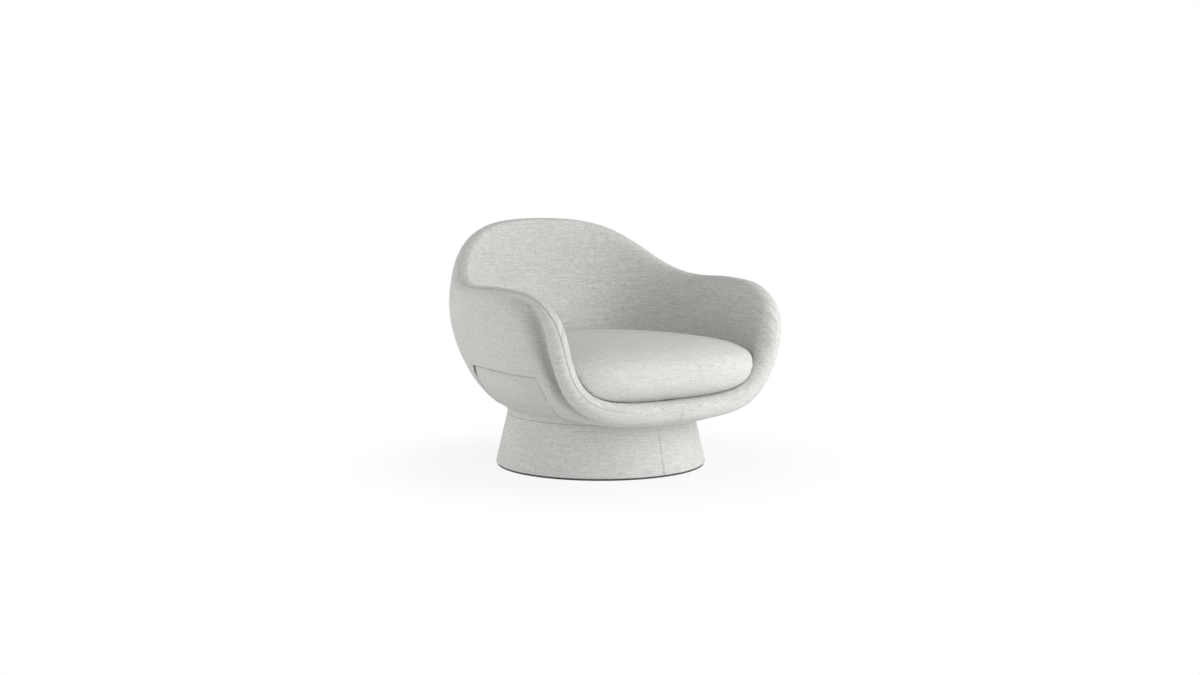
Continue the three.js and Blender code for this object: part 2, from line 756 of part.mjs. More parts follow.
// Heights of the stack, from the floor up
const padTop = floorPadThickness;
const baseBoardBottom = padTop + seatGap;
const baseBoardTop = baseBoardBottom + boardThickness;
const pedestalTop = pedestalHeight;
const collarBottom = pedestalTop + swivelGap;
const seatBoardTop = neckHeight - frameThickness / 2 - seatGap;
const seatBoardBottom = seatBoardTop - boardThickness;
const upperPlateTop = seatBoardBottom - seatGap;
const upperPlateBottom = upperPlateTop - plateThickness;
const lowerPlateTop = upperPlateBottom - raceOpening;
const lowerPlateBottom = lowerPlateTop - plateThickness;
const topBoardTop = lowerPlateBottom - seatGap;
const topBoardBottom = topBoardTop - boardThickness;
const raceHeight = (upperPlateBottom + lowerPlateTop) / 2;

// Cone radius at a height, at a depth below the finished fabric
function coneRadius(z, depth) {
  const u = (z - baseBoardBottom) / (pedestalTop - baseBoardBottom);
  return THREE.MathUtils.lerp(pedestalFootRadius, pedestalRimRadius, u) - depth;
}

function buildPedestal() {
  addMesh(pedestal, 'floor_pad', lathe([[0, 0], [floorPadRadius, 0], [floorPadRadius, padTop],
    [0, padTop]]), darkPad);
  const wallFace = baseFabricThickness + seatGap;
  const boardFace = wallFace + baseWallThickness + seatGap;
  const lip = baseFabricThickness + seatGap;
  const wallTop = pedestalTop - lip;
  addMesh(pedestal, 'base_wall', lathe(closed([
    [coneRadius(baseBoardBottom, wallFace), baseBoardBottom],
    [coneRadius(wallTop, wallFace), wallTop],
    [coneRadius(wallTop, wallFace + baseWallThickness), wallTop],
    [coneRadius(baseBoardBottom, wallFace + baseWallThickness), baseBoardBottom],
  ]), hiddenSegments), plywood);
  addMesh(pedestal, 'base_board', lathe([[0, baseBoardBottom],
    [coneRadius(baseBoardBottom, boardFace), baseBoardBottom],
    [coneRadius(baseBoardTop, boardFace), baseBoardTop], [0, baseBoardTop]], hiddenSegments), plywood);
  const board = lathe(closed([[topBoardBore, topBoardBottom],
    [coneRadius(topBoardBottom, boardFace), topBoardBottom],
    [coneRadius(topBoardTop, boardFace), topBoardTop], [topBoardBore, topBoardTop]]), hiddenSegments);
  const holes = boltHoles(lowerBoltCircle, topBoardBottom, topBoardTop);
  addMesh(pedestal, 'top_board', cut(board, holes), plywood);
  for (let k = 0; k < postCount; k++) {
    const height = topBoardBottom - baseBoardTop - 2 * seatGap;
    const post = addMesh(pedestal, 'base_post_' + (k + 1),
      new THREE.BoxGeometry(postWidth, postWidth, height), plywood);
    const [x, y] = onCircle(postCircleRadius, k, postCount, 0.5);
    post.position.set(x, y, baseBoardTop + seatGap + height / 2);
    post.rotation.z = Math.atan2(y, x);
  }
  for (const [name, side] of Object.entries(coverSide)) {
    addMesh(pedestal, 'base_cover_' + name, baseCover(side, wallTop), linen);
  }
}

// Half a cone of fabric, from the pad up over the wall's top edge
function baseCover(side, wallTop) {
  const columns = roundSegments / 2 + 1;
  const seamTurn = seamGap / 2 / pedestalRimRadius;
  const thick = baseFabricThickness;
  const lipReach = baseWallThickness;
  const profile = [
    [coneRadius(baseBoardBottom, 0), baseBoardBottom, coneRadius(baseBoardBottom, thick), 0],
    [coneRadius(pedestalTop - thick, 0), pedestalTop - thick,
      coneRadius(wallTop, thick), wallTop + seatGap],
    [coneRadius(pedestalTop, thick), pedestalTop, coneRadius(wallTop, thick + seatGap),
      wallTop + seatGap],
    [coneRadius(pedestalTop, lipReach), pedestalTop, coneRadius(pedestalTop, lipReach),
      wallTop + seatGap],
  ];
  profile[0][3] = baseBoardBottom;
  const angleAt = n => {
    const start = -Math.PI / 2 + seamTurn;
    const span = Math.PI - 2 * seamTurn;
    const turn = start + span * n / (columns - 1);
    return side > 0 ? turn : Math.PI - turn;
  };
  const at = (r, z, n) => [r * Math.cos(angleAt(n)), r * Math.sin(angleAt(n)), z];
  return panel(profile.length, columns, (i, n) => at(profile[i][0], profile[i][1], n),
    (i, n) => at(profile[i][2], profile[i][3], n), () => true);
}

function boltHoles(circle, bottom, top) {
  const tools = [];
  for (let k = 0; k < boltCount; k++) {
    const height = top - bottom + 2 * boltHeadHeight;
    const tool = new THREE.CylinderGeometry(boltRadius + holeClearance,
      boltRadius + holeClearance, height, boltSegments).rotateX(Math.PI / 2);
    const [x, y] = onCircle(circle, k, boltCount);
    tools.push(tool.translate(x, y, (bottom + top) / 2));
  }
  return tools;
}

// A button-head bolt; its head is on +Z and its shank runs down
function boltGeometry(shank) {
  const crown = boltHeadHeight / 2;
  return lathe([[0, -shank], [boltRadius, -shank], [boltRadius, 0], [boltHeadRadius, 0],
    [boltHeadRadius, crown], [boltHeadRadius - crown, boltHeadHeight], [0, boltHeadHeight]],
  boltSegments);
}

function addBolts(group, name, circle, z, down, shank) {
  for (let k = 0; k < boltCount; k++) {
    const bolt = addMesh(group, name + '_' + (k + 1), boltGeometry(shank), steel);
    const [x, y] = onCircle(circle, k, boltCount);
    bolt.position.set(x, y, z);
    bolt.rotation.x = down ? 0 : Math.PI;
  }
}

// Groove points of a ball race, across the plate face at z; dip is +1 into a lower plate
function raceArc(z, dip) {
  const radius = ballRadius + raceClearance;
  const reach = Math.acos(Math.abs(raceHeight - z) / radius);
  const points = [];
  for (let k = 0; k <= raceSteps; k++) {
    const angle = THREE.MathUtils.lerp(-reach, reach, k / raceSteps);
    points.push([raceRadius + radius * Math.sin(angle), raceHeight - dip * radius * Math.cos(angle)]);
  }
  return points;
}

function buildSwivel() {
  const lower = lathe(closed([[lowerPlateBore, lowerPlateBottom], [lowerPlateBore, lowerPlateTop],
    ...raceArc(lowerPlateTop, 1), [lowerPlateRadius, lowerPlateTop],
    [lowerPlateRadius, lowerPlateBottom]]));
  const lowerHoles = boltHoles(lowerBoltCircle, lowerPlateBottom, lowerPlateTop);
  addMesh(pedestal, 'swivel_plate_lower', cut(lower, lowerHoles), steel);
  const shank = plateThickness + seatGap + boardThickness - boltEndMargin + seatGap;
  addBolts(pedestal, 'plate_bolt_lower', lowerBoltCircle, lowerPlateTop + seatGap, true, shank);

  const upper = lathe(closed([[upperPlateBore, upperPlateTop], [upperPlateBore, upperPlateBottom],
    ...raceArc(upperPlateBottom, -1), [upperPlateRadius, upperPlateBottom],
    [upperPlateRadius, upperPlateTop]]));
  const upperHoles = boltHoles(upperBoltCircle, upperPlateBottom, upperPlateTop);
  addMesh(seat, 'swivel_plate_upper', cut(upper, upperHoles), steel);
  addBolts(seat, 'plate_bolt_upper', upperBoltCircle, upperPlateBottom - seatGap, false, shank);
  addMesh(seat, 'bearing_cage', cageGeometry(), steel);
}

function cageGeometry() {
  const half = cageThickness / 2;
  const band = lathe(closed([[raceRadius - cageHalfWidth, raceHeight - half],
    [raceRadius + cageHalfWidth, raceHeight - half], [raceRadius + cageHalfWidth, raceHeight + half],
    [raceRadius - cageHalfWidth, raceHeight + half]]), hiddenSegments);
  let body = toManifold(band);
  for (let k = 0; k < ballCount; k++) {
    const [x, y] = onCircle(raceRadius, k, ballCount);
    const ball = new THREE.SphereGeometry(ballRadius, ballSegments, ballSegments / 2).rotateX(Math.PI / 2);
    body = body.add(toManifold(ball.translate(x, y, raceHeight)));
  }
  return fromManifold(body);
}

function buildDeck() {
  const board = lathe([[0, seatBoardBottom], [seatBoardRadius, seatBoardBottom],
    [seatBoardRadius, seatBoardTop], [0, seatBoardTop]], hiddenSegments);
  const holes = boltHoles(upperBoltCircle, seatBoardBottom, seatBoardTop);
  addMesh(seat, 'seat_board', cut(board, holes), plywood);
  const flangeTop = neckHeight + frameThickness / 2 + seatGap;
  const plugRadius = flangeRadius * Math.cos(Math.PI / halfColumns) - seatGap;
  addMesh(seat, 'deck_foam', lathe([[0, seatBoardTop + seatGap],
    [plugRadius, seatBoardTop + seatGap], [plugRadius, flangeTop], [deckRadius, flangeTop],
    [deckRadius, deckTopHeight], [0, deckTopHeight]], hiddenSegments), foam);
  const clothBottom = deckTopHeight + seatGap;
  addMesh(seat, 'deck_cloth', lathe([[0, clothBottom], [deckRadius, clothBottom],
    [deckRadius, clothBottom + deckClothThickness], [0, clothBottom + deckClothThickness]],
  hiddenSegments), darkCloth);
}

// Loose seat cushion
const cushionBottom = deckTopHeight + seatGap + deckClothThickness + seatGap;

// Rows of the section at one turn angle, as [share of reach, height], inset from the finished face
function cushionRows(turn, inset) {
  const place = turn / Math.PI * halfSteps;
  const reach = splineAt(mirrored(cushionReachShares, 1), place) * cushionReach - inset;
  const sideness = splineAt(mirrored(cushionSideShares, 1), place);
  const low = cushionBottom + inset;
  const high = cushionTopHeight - inset;
  const equator = cushionEquatorHeight + sideness * cushionEquatorRise;
  const rows = [[0, low], [cushionFloorShare * reach, low]];
  frontEdgeShares.forEach(([front, frontRise], k) => {
    const [side, sideRise] = sideEdgeShares[k];
    const share = THREE.MathUtils.lerp(front, side, sideness);
    const rise = THREE.MathUtils.lerp(frontRise, sideRise, sideness);
    rows.push([share * reach, THREE.MathUtils.lerp(low, equator, rise)]);
  });
  for (const [share, rise] of crownShares) {
    rows.push([share * reach, THREE.MathUtils.lerp(equator, high, rise)]);
  }
  return rows;
}

function cushionPoint(i, n, inset) {
  const turn = (n + 0.5) / cushionColumns * 2 * Math.PI;
  const [r, z] = cushionRows(turn, inset)[i];
  return [r * Math.sin(turn), -r * Math.cos(turn), z];
}

function buildCushion() {
  const rows = 2 + frontEdgeShares.length + crownShares.length;
  const zipRow = frontEdgeShares.length;
  const zipHalfCount = 3;
  const middleCell = cushionColumns / 2 - 1;
  const isZip = (i, n) => i === zipRow && Math.abs(n - middleCell) < zipHalfCount;
  const inner = cushionFabricThickness;
  addMesh(seat, 'cushion_cover', panel(rows, cushionColumns, (i, n) => cushionPoint(i, n, 0),
    (i, n) => cushionPoint(i, n, inner), (i, n) => !isZip(i, n), { wrap: true }), linen);
  const core = inner + 2 * seatGap;
  const soup = new Soup();
  for (let i = 0; i < rows - 1; i++) {
    for (let n = 0; n < cushionColumns; n++) {
      soup.quad(cushionPoint(i, n, core), cushionPoint(i, n + 1, core),
        cushionPoint(i + 1, n + 1, core), cushionPoint(i + 1, n, core));
    }
  }
  addMesh(seat, 'cushion_foam', soup.geometry(), foam);

  // The zip fills its slot, a gap clear of the edges
  const first = middleCell - zipHalfCount + 1;
  const last = middleCell + zipHalfCount;
  const height = new THREE.Vector3(...cushionPoint(zipRow, first, 0))
    .distanceTo(new THREE.Vector3(...cushionPoint(zipRow + 1, first, 0)));
  const edgeShare = seatGap / height;
  const length = new THREE.Vector3(...cushionPoint(zipRow, first, 0))
    .distanceTo(new THREE.Vector3(...cushionPoint(zipRow, first + 1, 0)));
  const endShare = seatGap / length;
  const between = (a, b, share) => a.map((value, k) => THREE.MathUtils.lerp(value, b[k], share));
  const stripPoint = (i, n, inset) => {
    const row = j => {
      const share = i === 0 ? edgeShare : 1 - edgeShare;
      return between(cushionPoint(zipRow, j, inset), cushionPoint(zipRow + 1, j, inset), share);
    };
    const j = first + n;
    if (j === first) return between(row(j), row(j + 1), endShare);
    if (j === last) return between(row(j), row(j - 1), endShare);
    return row(j);
  };
  addMesh(seat, 'cushion_zip', panel(2, last - first + 1, (i, n) => stripPoint(i, n, 0),
    (i, n) => stripPoint(i, n, inner), () => true), zipMaterial);
}

buildPedestal();
buildSwivel();
buildDeck();
buildShellCore();
buildCovers();
buildCushion();

export default chair;
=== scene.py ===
import json
import math

import bmesh
import bpy
import numpy as np
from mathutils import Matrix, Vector

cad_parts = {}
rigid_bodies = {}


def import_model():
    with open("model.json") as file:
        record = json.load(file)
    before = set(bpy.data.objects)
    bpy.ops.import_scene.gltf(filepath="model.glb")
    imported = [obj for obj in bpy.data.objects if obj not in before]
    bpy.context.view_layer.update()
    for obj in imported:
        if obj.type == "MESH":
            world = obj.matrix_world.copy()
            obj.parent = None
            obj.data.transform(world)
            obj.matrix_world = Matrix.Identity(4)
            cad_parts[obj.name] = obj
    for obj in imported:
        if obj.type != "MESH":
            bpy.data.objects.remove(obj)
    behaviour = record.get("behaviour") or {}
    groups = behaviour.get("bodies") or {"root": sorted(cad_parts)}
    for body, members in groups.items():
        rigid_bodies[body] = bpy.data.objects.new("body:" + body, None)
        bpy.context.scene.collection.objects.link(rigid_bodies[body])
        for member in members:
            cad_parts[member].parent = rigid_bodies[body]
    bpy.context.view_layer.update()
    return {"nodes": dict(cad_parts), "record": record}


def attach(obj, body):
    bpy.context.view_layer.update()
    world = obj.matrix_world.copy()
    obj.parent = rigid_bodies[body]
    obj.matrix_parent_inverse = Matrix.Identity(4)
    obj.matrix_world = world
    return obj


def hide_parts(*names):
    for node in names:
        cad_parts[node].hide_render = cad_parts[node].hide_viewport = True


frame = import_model()
print("frame:", len(frame["nodes"]), "nodes")


# Node trees

def addNode(tree, kind, inputs=None, **settings):
    # one node with its settings, and its inputs as numbers or as sockets to link
    node = tree.nodes.new(kind)
    for key, value in settings.items():
        setattr(node, key, value)
    for key, value in (inputs or {}).items():
        if isinstance(value, bpy.types.NodeSocket):
            tree.links.new(value, node.inputs[key])
        else:
            node.inputs[key].default_value = value
    return node


def calc(tree, operation, a, b=0.0, c=0.0):
    return addNode(tree, "ShaderNodeMath", {0: a, 1: b, 2: c}, operation=operation).outputs[0]


def noise(tree, vector, scale, detail=2.0, roughness=0.5):
    node = addNode(tree, "ShaderNodeTexNoise", {"Vector": vector, "Scale": scale, "Detail": detail,
                                                "Roughness": roughness})
    return node.outputs["Fac"]


def centred(tree, value, amount):
    # noise about zero: (value - 0.5) * 2 * amount
    return calc(tree, "MULTIPLY", calc(tree, "SUBTRACT", value, 0.5),
                calc(tree, "MULTIPLY", amount, 2.0))


def newGroup(name, inputs, outputs):
    group = bpy.data.node_groups.new(name, "ShaderNodeTree")
    for label, kind, value in inputs:
        socket = group.interface.new_socket(name=label, in_out="INPUT", socket_type="NodeSocket" + kind)
        if value is not None:
            socket.default_value = value
    for label, kind in outputs:
        group.interface.new_socket(name=label, in_out="OUTPUT", socket_type="NodeSocket" + kind)
    return group, group.nodes.new("NodeGroupInput").outputs, group.nodes.new("NodeGroupOutput").inputs


def makeLinenWeave():
    # Plain weave of slubby yarn. Vector is in metres on the cloth: x along the weft, y along the warp.
    # Warp shows on even squares of the yarn grid and weft on odd ones. Slubs are streaks of noise, long
    # along their yarn and thin across it, in both directions.
    group, given, out = newGroup("linenWeave", [
        ("Vector", "Vector", None), ("Color", "Color", (0.64, 0.645, 0.62, 1)), ("Yarn", "Float", 0.0012),
        ("Slub", "Float", 0.4), ("Fleck", "Float", 0.06), ("Mottle", "Float", 0.03),
        ("PaintedShade", "Float", 0.0)],
        [("Color", "Color"), ("Height", "Float"), ("Roughness", "Float")])
    bend = addNode(group, "ShaderNodeTexNoise", {"Vector": given["Vector"], "Scale": 26.0, "Detail": 2.0})
    place = addNode(group, "ShaderNodeVectorMath", {0: bend.outputs["Color"], 1: (0.004, 0.004, 0),
                                                    2: given["Vector"]}, operation="MULTIPLY_ADD").outputs[0]
    split = addNode(group, "ShaderNodeSeparateXYZ", {0: place}).outputs
    across = calc(group, "DIVIDE", split["X"], given["Yarn"])
    down = calc(group, "DIVIDE", split["Y"], given["Yarn"])
    isWeft = calc(group, "FLOORED_MODULO",
                  calc(group, "ADD", calc(group, "FLOOR", across), calc(group, "FLOOR", down)), 2.0)
    warpRound = calc(group, "ABSOLUTE", calc(group, "SINE", calc(group, "MULTIPLY", across, math.pi)))
    weftRound = calc(group, "ABSOLUTE", calc(group, "SINE", calc(group, "MULTIPLY", down, math.pi)))
    warpHeight = calc(group, "MULTIPLY", warpRound, calc(group, "MULTIPLY_ADD", weftRound, 0.45, 0.55))
    weftHeight = calc(group, "MULTIPLY", weftRound, calc(group, "MULTIPLY_ADD", warpRound, 0.45, 0.55))
    height = addNode(group, "ShaderNodeMix", {"Factor": isWeft, "A": warpHeight, "B": weftHeight}).outputs[0]

    def streaks(run, side, length, thickness, seed):
        # noise stretched along the yarn: length and thickness of one streak in metres
        vector = addNode(group, "ShaderNodeCombineXYZ", {
            "X": calc(group, "MULTIPLY_ADD", run, 1 / length, seed),
            "Y": calc(group, "MULTIPLY_ADD", side, 1 / thickness, seed)}).outputs[0]
        node = addNode(group, "ShaderNodeTexNoise", {"Vector": vector, "Scale": 1.0, "Detail": 1.0,
                                                    "Roughness": 0.6}, noise_dimensions="2D")
        return calc(group, "SUBTRACT", node.outputs["Fac"], 0.5)

    weft = calc(group, "MULTIPLY_ADD", streaks(split["X"], split["Y"], 0.11, 0.0045, 3.7), 0.65,
                streaks(split["X"], split["Y"], 0.024, 0.0024, 1.3))
    warp = calc(group, "MULTIPLY_ADD", streaks(split["Y"], split["X"], 0.05, 0.005, 8.1), 0.4,
                calc(group, "MULTIPLY", streaks(split["Y"], split["X"], 0.016, 0.0024, 5.9), 0.8))
    slub = calc(group, "ADD", weft, warp)
    shade = calc(group, "MULTIPLY_ADD", slub, given["Slub"], 1.0)
    fine = addNode(group, "ShaderNodeMix", {"Factor": isWeft, "A": warp, "B": weft}).outputs[0]
    shade = calc(group, "MULTIPLY_ADD", fine, calc(group, "MULTIPLY", given["Slub"], 0.9), shade)
    shade = calc(group, "ADD", shade, centred(group, noise(group, place, 300.0, 2.0), given["Fleck"]))
    shade = calc(group, "ADD", shade, centred(group, noise(group, place, 7.0, 3.0), given["Mottle"]))
    # yarn tops lighter and the gaps between yarns darker: painted light and shade of the weave
    shade = calc(group, "ADD", shade, calc(group, "MULTIPLY", calc(group, "SUBTRACT", height, 0.5), 0.14))
    # painted shade: the cloth is darkened by up to a half where the piece's painted shade is drawn, along
    # seams, folds and grooves
    shade = calc(group, "SUBTRACT", shade, calc(group, "MULTIPLY", given["PaintedShade"], 0.5))
    color = addNode(group, "ShaderNodeVectorMath", {0: given["Color"], "Scale": shade}, operation="SCALE")
    group.links.new(color.outputs[0], out["Color"])
    group.links.new(calc(group, "MULTIPLY_ADD", slub, 1.2, height), out["Height"])
    group.links.new(calc(group, "MULTIPLY_ADD", height, -0.08, 0.96), out["Roughness"])
    return group


linenWeave = makeLinenWeave()


def newMaterial(name):
    material = bpy.data.materials.new(name)
    material.use_nodes = True
    tree = material.node_tree
    return material, tree, tree.nodes["Principled BSDF"]


def makeLinen(name, color=(0.66, 0.658, 0.638), yarn=0.0012, slub=0.22, fleck=0.05, mottle=0.03, turn=0.0):
    material, tree, shader = newMaterial(name)
    uv = addNode(tree, "ShaderNodeUVMap", uv_map="weave").outputs[0]
    turned = addNode(tree, "ShaderNodeMapping", {"Vector": uv, "Rotation": (0, 0, turn)}).outputs[0]
    # painted shade of the piece, read from its point attribute
    paintedShade = addNode(tree, "ShaderNodeAttribute", attribute_name="paintedShade").outputs["Fac"]
    weave = addNode(tree, "ShaderNodeGroup", node_tree=linenWeave)
    for key, value in {"Color": (*color, 1), "Yarn": yarn, "Slub": slub, "Fleck": fleck,
                       "Mottle": mottle}.items():
        weave.inputs[key].default_value = value
    tree.links.new(turned, weave.inputs["Vector"])
    tree.links.new(paintedShade, weave.inputs["PaintedShade"])
    bump = addNode(tree, "ShaderNodeBump", {"Height": weave.outputs["Height"], "Strength": 0.35,
                                            "Distance": 0.0004})
    tree.links.new(weave.outputs["Color"], shader.inputs["Base Color"])
    tree.links.new(weave.outputs["Roughness"], shader.inputs["Roughness"])
    tree.links.new(bump.outputs[0], shader.inputs["Normal"])
    shader.inputs["Sheen Weight"].default_value = 0.12
    shader.inputs["Sheen Roughness"].default_value = 0.45
    shader.inputs["Specular IOR Level"].default_value = 0.25
    return material


linens = {"outside": makeLinen("linenOutside", slub=0.19, fleck=0.1),
          "inside": makeLinen("linenInside", slub=0.31, fleck=0.06),
          "cushion": makeLinen("linenCushion", color=(0.68, 0.678, 0.657), slub=0.22, fleck=0.07),
          "base": makeLinen("linenBase", color=(0.675, 0.67, 0.652), slub=0.25, fleck=0.08)}
print("materials: linen")


def makeWoodGrain():
    # veneer: fibres are noise drawn out along X, growth bands a bent sine across Y, plies a square wave up Z
    group, given, out = newGroup("woodGrain", [
        ("Vector", "Vector", None), ("Color", "Color", (0.58, 0.4, 0.2, 1)), ("Plies", "Float", 1.0)],
        [("Color", "Color"), ("Height", "Float")])
    drawn = addNode(group, "ShaderNodeVectorMath", {0: given["Vector"], 1: (6.0, 90.0, 90.0)},
                    operation="MULTIPLY").outputs[0]
    fibre = noise(group, drawn, 4.0, 4.0, 0.65)
    bend = noise(group, addNode(group, "ShaderNodeVectorMath", {0: given["Vector"], 1: (1.5, 9.0, 9.0)},
                                operation="MULTIPLY").outputs[0], 1.0, 3.0)
    split = addNode(group, "ShaderNodeSeparateXYZ", {0: given["Vector"]}).outputs
    band = calc(group, "SINE", calc(group, "MULTIPLY_ADD", bend, 34.0,
                                    calc(group, "MULTIPLY", split["Y"], 60.0)))
    facing = addNode(group, "ShaderNodeSeparateXYZ",
                     {0: addNode(group, "ShaderNodeNewGeometry").outputs["Normal"]}).outputs["Z"]
    edge = calc(group, "LESS_THAN", calc(group, "ABSOLUTE", facing), 0.6)
    ply = calc(group, "GREATER_THAN", calc(group, "SINE", calc(group, "MULTIPLY", split["Z"], 2100.0)), 0.0)
    layer = calc(group, "MULTIPLY", calc(group, "MULTIPLY", edge, given["Plies"]), ply)
    shade = calc(group, "MULTIPLY_ADD", calc(group, "SUBTRACT", fibre, 0.5), 0.45,
                 calc(group, "MULTIPLY_ADD", band, 0.07, 1.0))
    shade = calc(group, "MULTIPLY_ADD", layer, -0.3, shade)
    color = addNode(group, "ShaderNodeVectorMath", {0: given["Color"], "Scale": shade}, operation="SCALE")
    group.links.new(color.outputs[0], out["Color"])
    group.links.new(calc(group, "SUBTRACT", fibre, layer), out["Height"])
    return group


def objectPlace(tree):
    return addNode(tree, "ShaderNodeTexCoord").outputs["Object"]


def addBump(tree, shader, height, strength, distance):
    bump = addNode(tree, "ShaderNodeBump", {"Height": height, "Strength": strength, "Distance": distance})
    tree.links.new(bump.outputs[0], shader.inputs["Normal"])


woodGrain = makeWoodGrain()


def makePlywood(name, plies):
    material, tree, shader = newMaterial(name)
    grain = addNode(tree, "ShaderNodeGroup", {"Vector": objectPlace(tree), "Color": (0.58, 0.4, 0.2, 1),
                                              "Plies": plies}, node_tree=woodGrain)
    tree.links.new(grain.outputs["Color"], shader.inputs["Base Color"])
    shader.inputs["Roughness"].default_value = 0.7
    addBump(tree, shader, grain.outputs["Height"], 0.3, 0.0003)
    return material


def makeSteel():
    # zinc plate: a mottled spangle in the roughness and fine scratches in the bump
    material, tree, shader = newMaterial("zincSteel")
    place = objectPlace(tree)
    spangle = noise(tree, place, 90.0, 3.0)
    scratch = noise(tree, addNode(tree, "ShaderNodeVectorMath", {0: place, 1: (40.0, 1600.0, 400.0)},
                                  operation="MULTIPLY").outputs[0], 1.0, 2.0)
    tone = addNode(tree, "ShaderNodeMix", {"Factor": spangle, "A": (0.44, 0.45, 0.47, 1),
                                           "B": (0.56, 0.57, 0.59, 1)}, data_type="RGBA")
    tree.links.new(tone.outputs["Result"], shader.inputs["Base Color"])
    tree.links.new(calc(tree, "MULTIPLY_ADD", spangle, 0.25, 0.28), shader.inputs["Roughness"])
    shader.inputs["Metallic"].default_value = 1.0
    addBump(tree, shader, scratch, 0.2, 0.0001)
    return material


def makePad():
    # dark felt-like floor pad: matted fibres in colour and bump
    material, tree, shader = newMaterial("floorPad")
    place = objectPlace(tree)
    fibre = noise(tree, place, 900.0, 3.0, 0.7)
    tone = addNode(tree, "ShaderNodeMix", {"Factor": fibre, "A": (0.05, 0.05, 0.055, 1),
                                           "B": (0.11, 0.11, 0.115, 1)}, data_type="RGBA")
    tree.links.new(tone.outputs["Result"], shader.inputs["Base Color"])
    shader.inputs["Roughness"].default_value = 0.9
    addBump(tree, shader, fibre, 0.5, 0.0004)
    return material


finishes = {"plywood": makePlywood("plywoodFlat", 1.0), "steel": makeSteel(), "floor_pad": makePad(),
            "deck_cloth": makeLinen("deckCloth", color=(0.05, 0.05, 0.055), yarn=0.0008, slub=0.15, fleck=0.25),
            "zip": makeLinen("zipTape", color=(0.5, 0.5, 0.48), yarn=0.0006, slub=0.1, fleck=0.04)}
bentPlywood = makePlywood("plywoodBent", 0.0)
for row in frame["record"]["subparts"]:
    finish = finishes.get(row["material_slot"])
    if row["node"] in ("base_wall", "shell_frame"):
        finish = bentPlywood
    if finish:
        for slot in bpy.data.objects[row["node"]].material_slots:
            slot.material = finish
print("materials: plywood, steel, pad and zip")


# Grid surfaces

def smooth(x, low, high):
    u = np.clip((x - low) / (high - low), 0, 1)
    return u * u * (3 - 2 * u)


def unit(v):
    return v / np.maximum(np.linalg.norm(v, axis=-1, keepdims=True), 1e-12)


def runLengths(points, axis):
    # distance along each grid line from its first point
    step = np.linalg.norm(np.diff(points, axis=axis), axis=-1)
    start = np.zeros_like(np.take(step, [0], axis=axis))
    return np.concatenate([start, np.cumsum(step, axis=axis)], axis=axis)


def meshFromFaces(name, points, faces, uv=None, paintedShade=None, smoothFaces=True):
    # quads as one whole array; uv and the painted shade have one value per vertex
    used, index = np.unique(faces, return_inverse=True)
    faces = index.reshape(faces.shape)
    points = points.reshape(-1, 3)[used]
    mesh = bpy.data.meshes.new(name)
    mesh.vertices.add(len(points))
    mesh.vertices.foreach_set("co", points.astype(np.float32).ravel())
    corners = faces.shape[1]
    mesh.loops.add(faces.size)
    mesh.loops.foreach_set("vertex_index", faces.astype(np.int32).ravel())
    mesh.polygons.add(len(faces))
    mesh.polygons.foreach_set("loop_start", np.arange(0, faces.size, corners, dtype=np.int32))
    mesh.polygons.foreach_set("use_smooth", np.full(len(faces), smoothFaces))
    mesh.update(calc_edges=True)
    if uv is not None:
        layer = mesh.uv_layers.new(name="weave")
        layer.data.foreach_set("uv", uv.reshape(-1, 2)[used][faces.ravel()].astype(np.float32).ravel())
    if paintedShade is not None:
        attribute = mesh.attributes.new("paintedShade", "FLOAT", "POINT")
        attribute.data.foreach_set("value", paintedShade.reshape(-1)[used].astype(np.float32))
    mesh.validate()
    item = bpy.data.objects.new(name, mesh)
    bpy.context.scene.collection.objects.link(item)
    return item


def gridFaces(rows, columns, kept=None, wrap=False):
    index = np.arange(rows * columns).reshape(rows, columns)
    right = np.roll(index, -1, 1) if wrap else index[:, 1:]
    left = index if wrap else index[:, :-1]
    faces = np.stack([left[:-1], right[:-1], right[1:], left[1:]], -1)
    return faces.reshape(-1, 4) if kept is None else faces[kept]


def clustered(low, high, step, stops, offsets):
    # even places with closer ones near each stop
    places = [np.linspace(low, high, max(2, int(round((high - low) / step)) + 1))]
    places += [np.array([stop + o for o in offsets]) for stop in stops]
    places = np.unique(np.round(np.concatenate(places), 9))
    places = places[(places >= low - 1e-9) & (places <= high + 1e-9)]
    near = np.min(np.abs(places[:, None] - np.array(stops)[None, :]), 1) if len(stops) else places + 1
    keep = np.ones(len(places), bool)
    for k in range(1, len(places)):
        tight = places[k] - places[k - 1] < 0.28 * step and near[k] > max(np.abs(offsets), default=0) + 1e-9
        keep[k] = not tight or k == len(places) - 1
    return places[keep]


# Shell wall

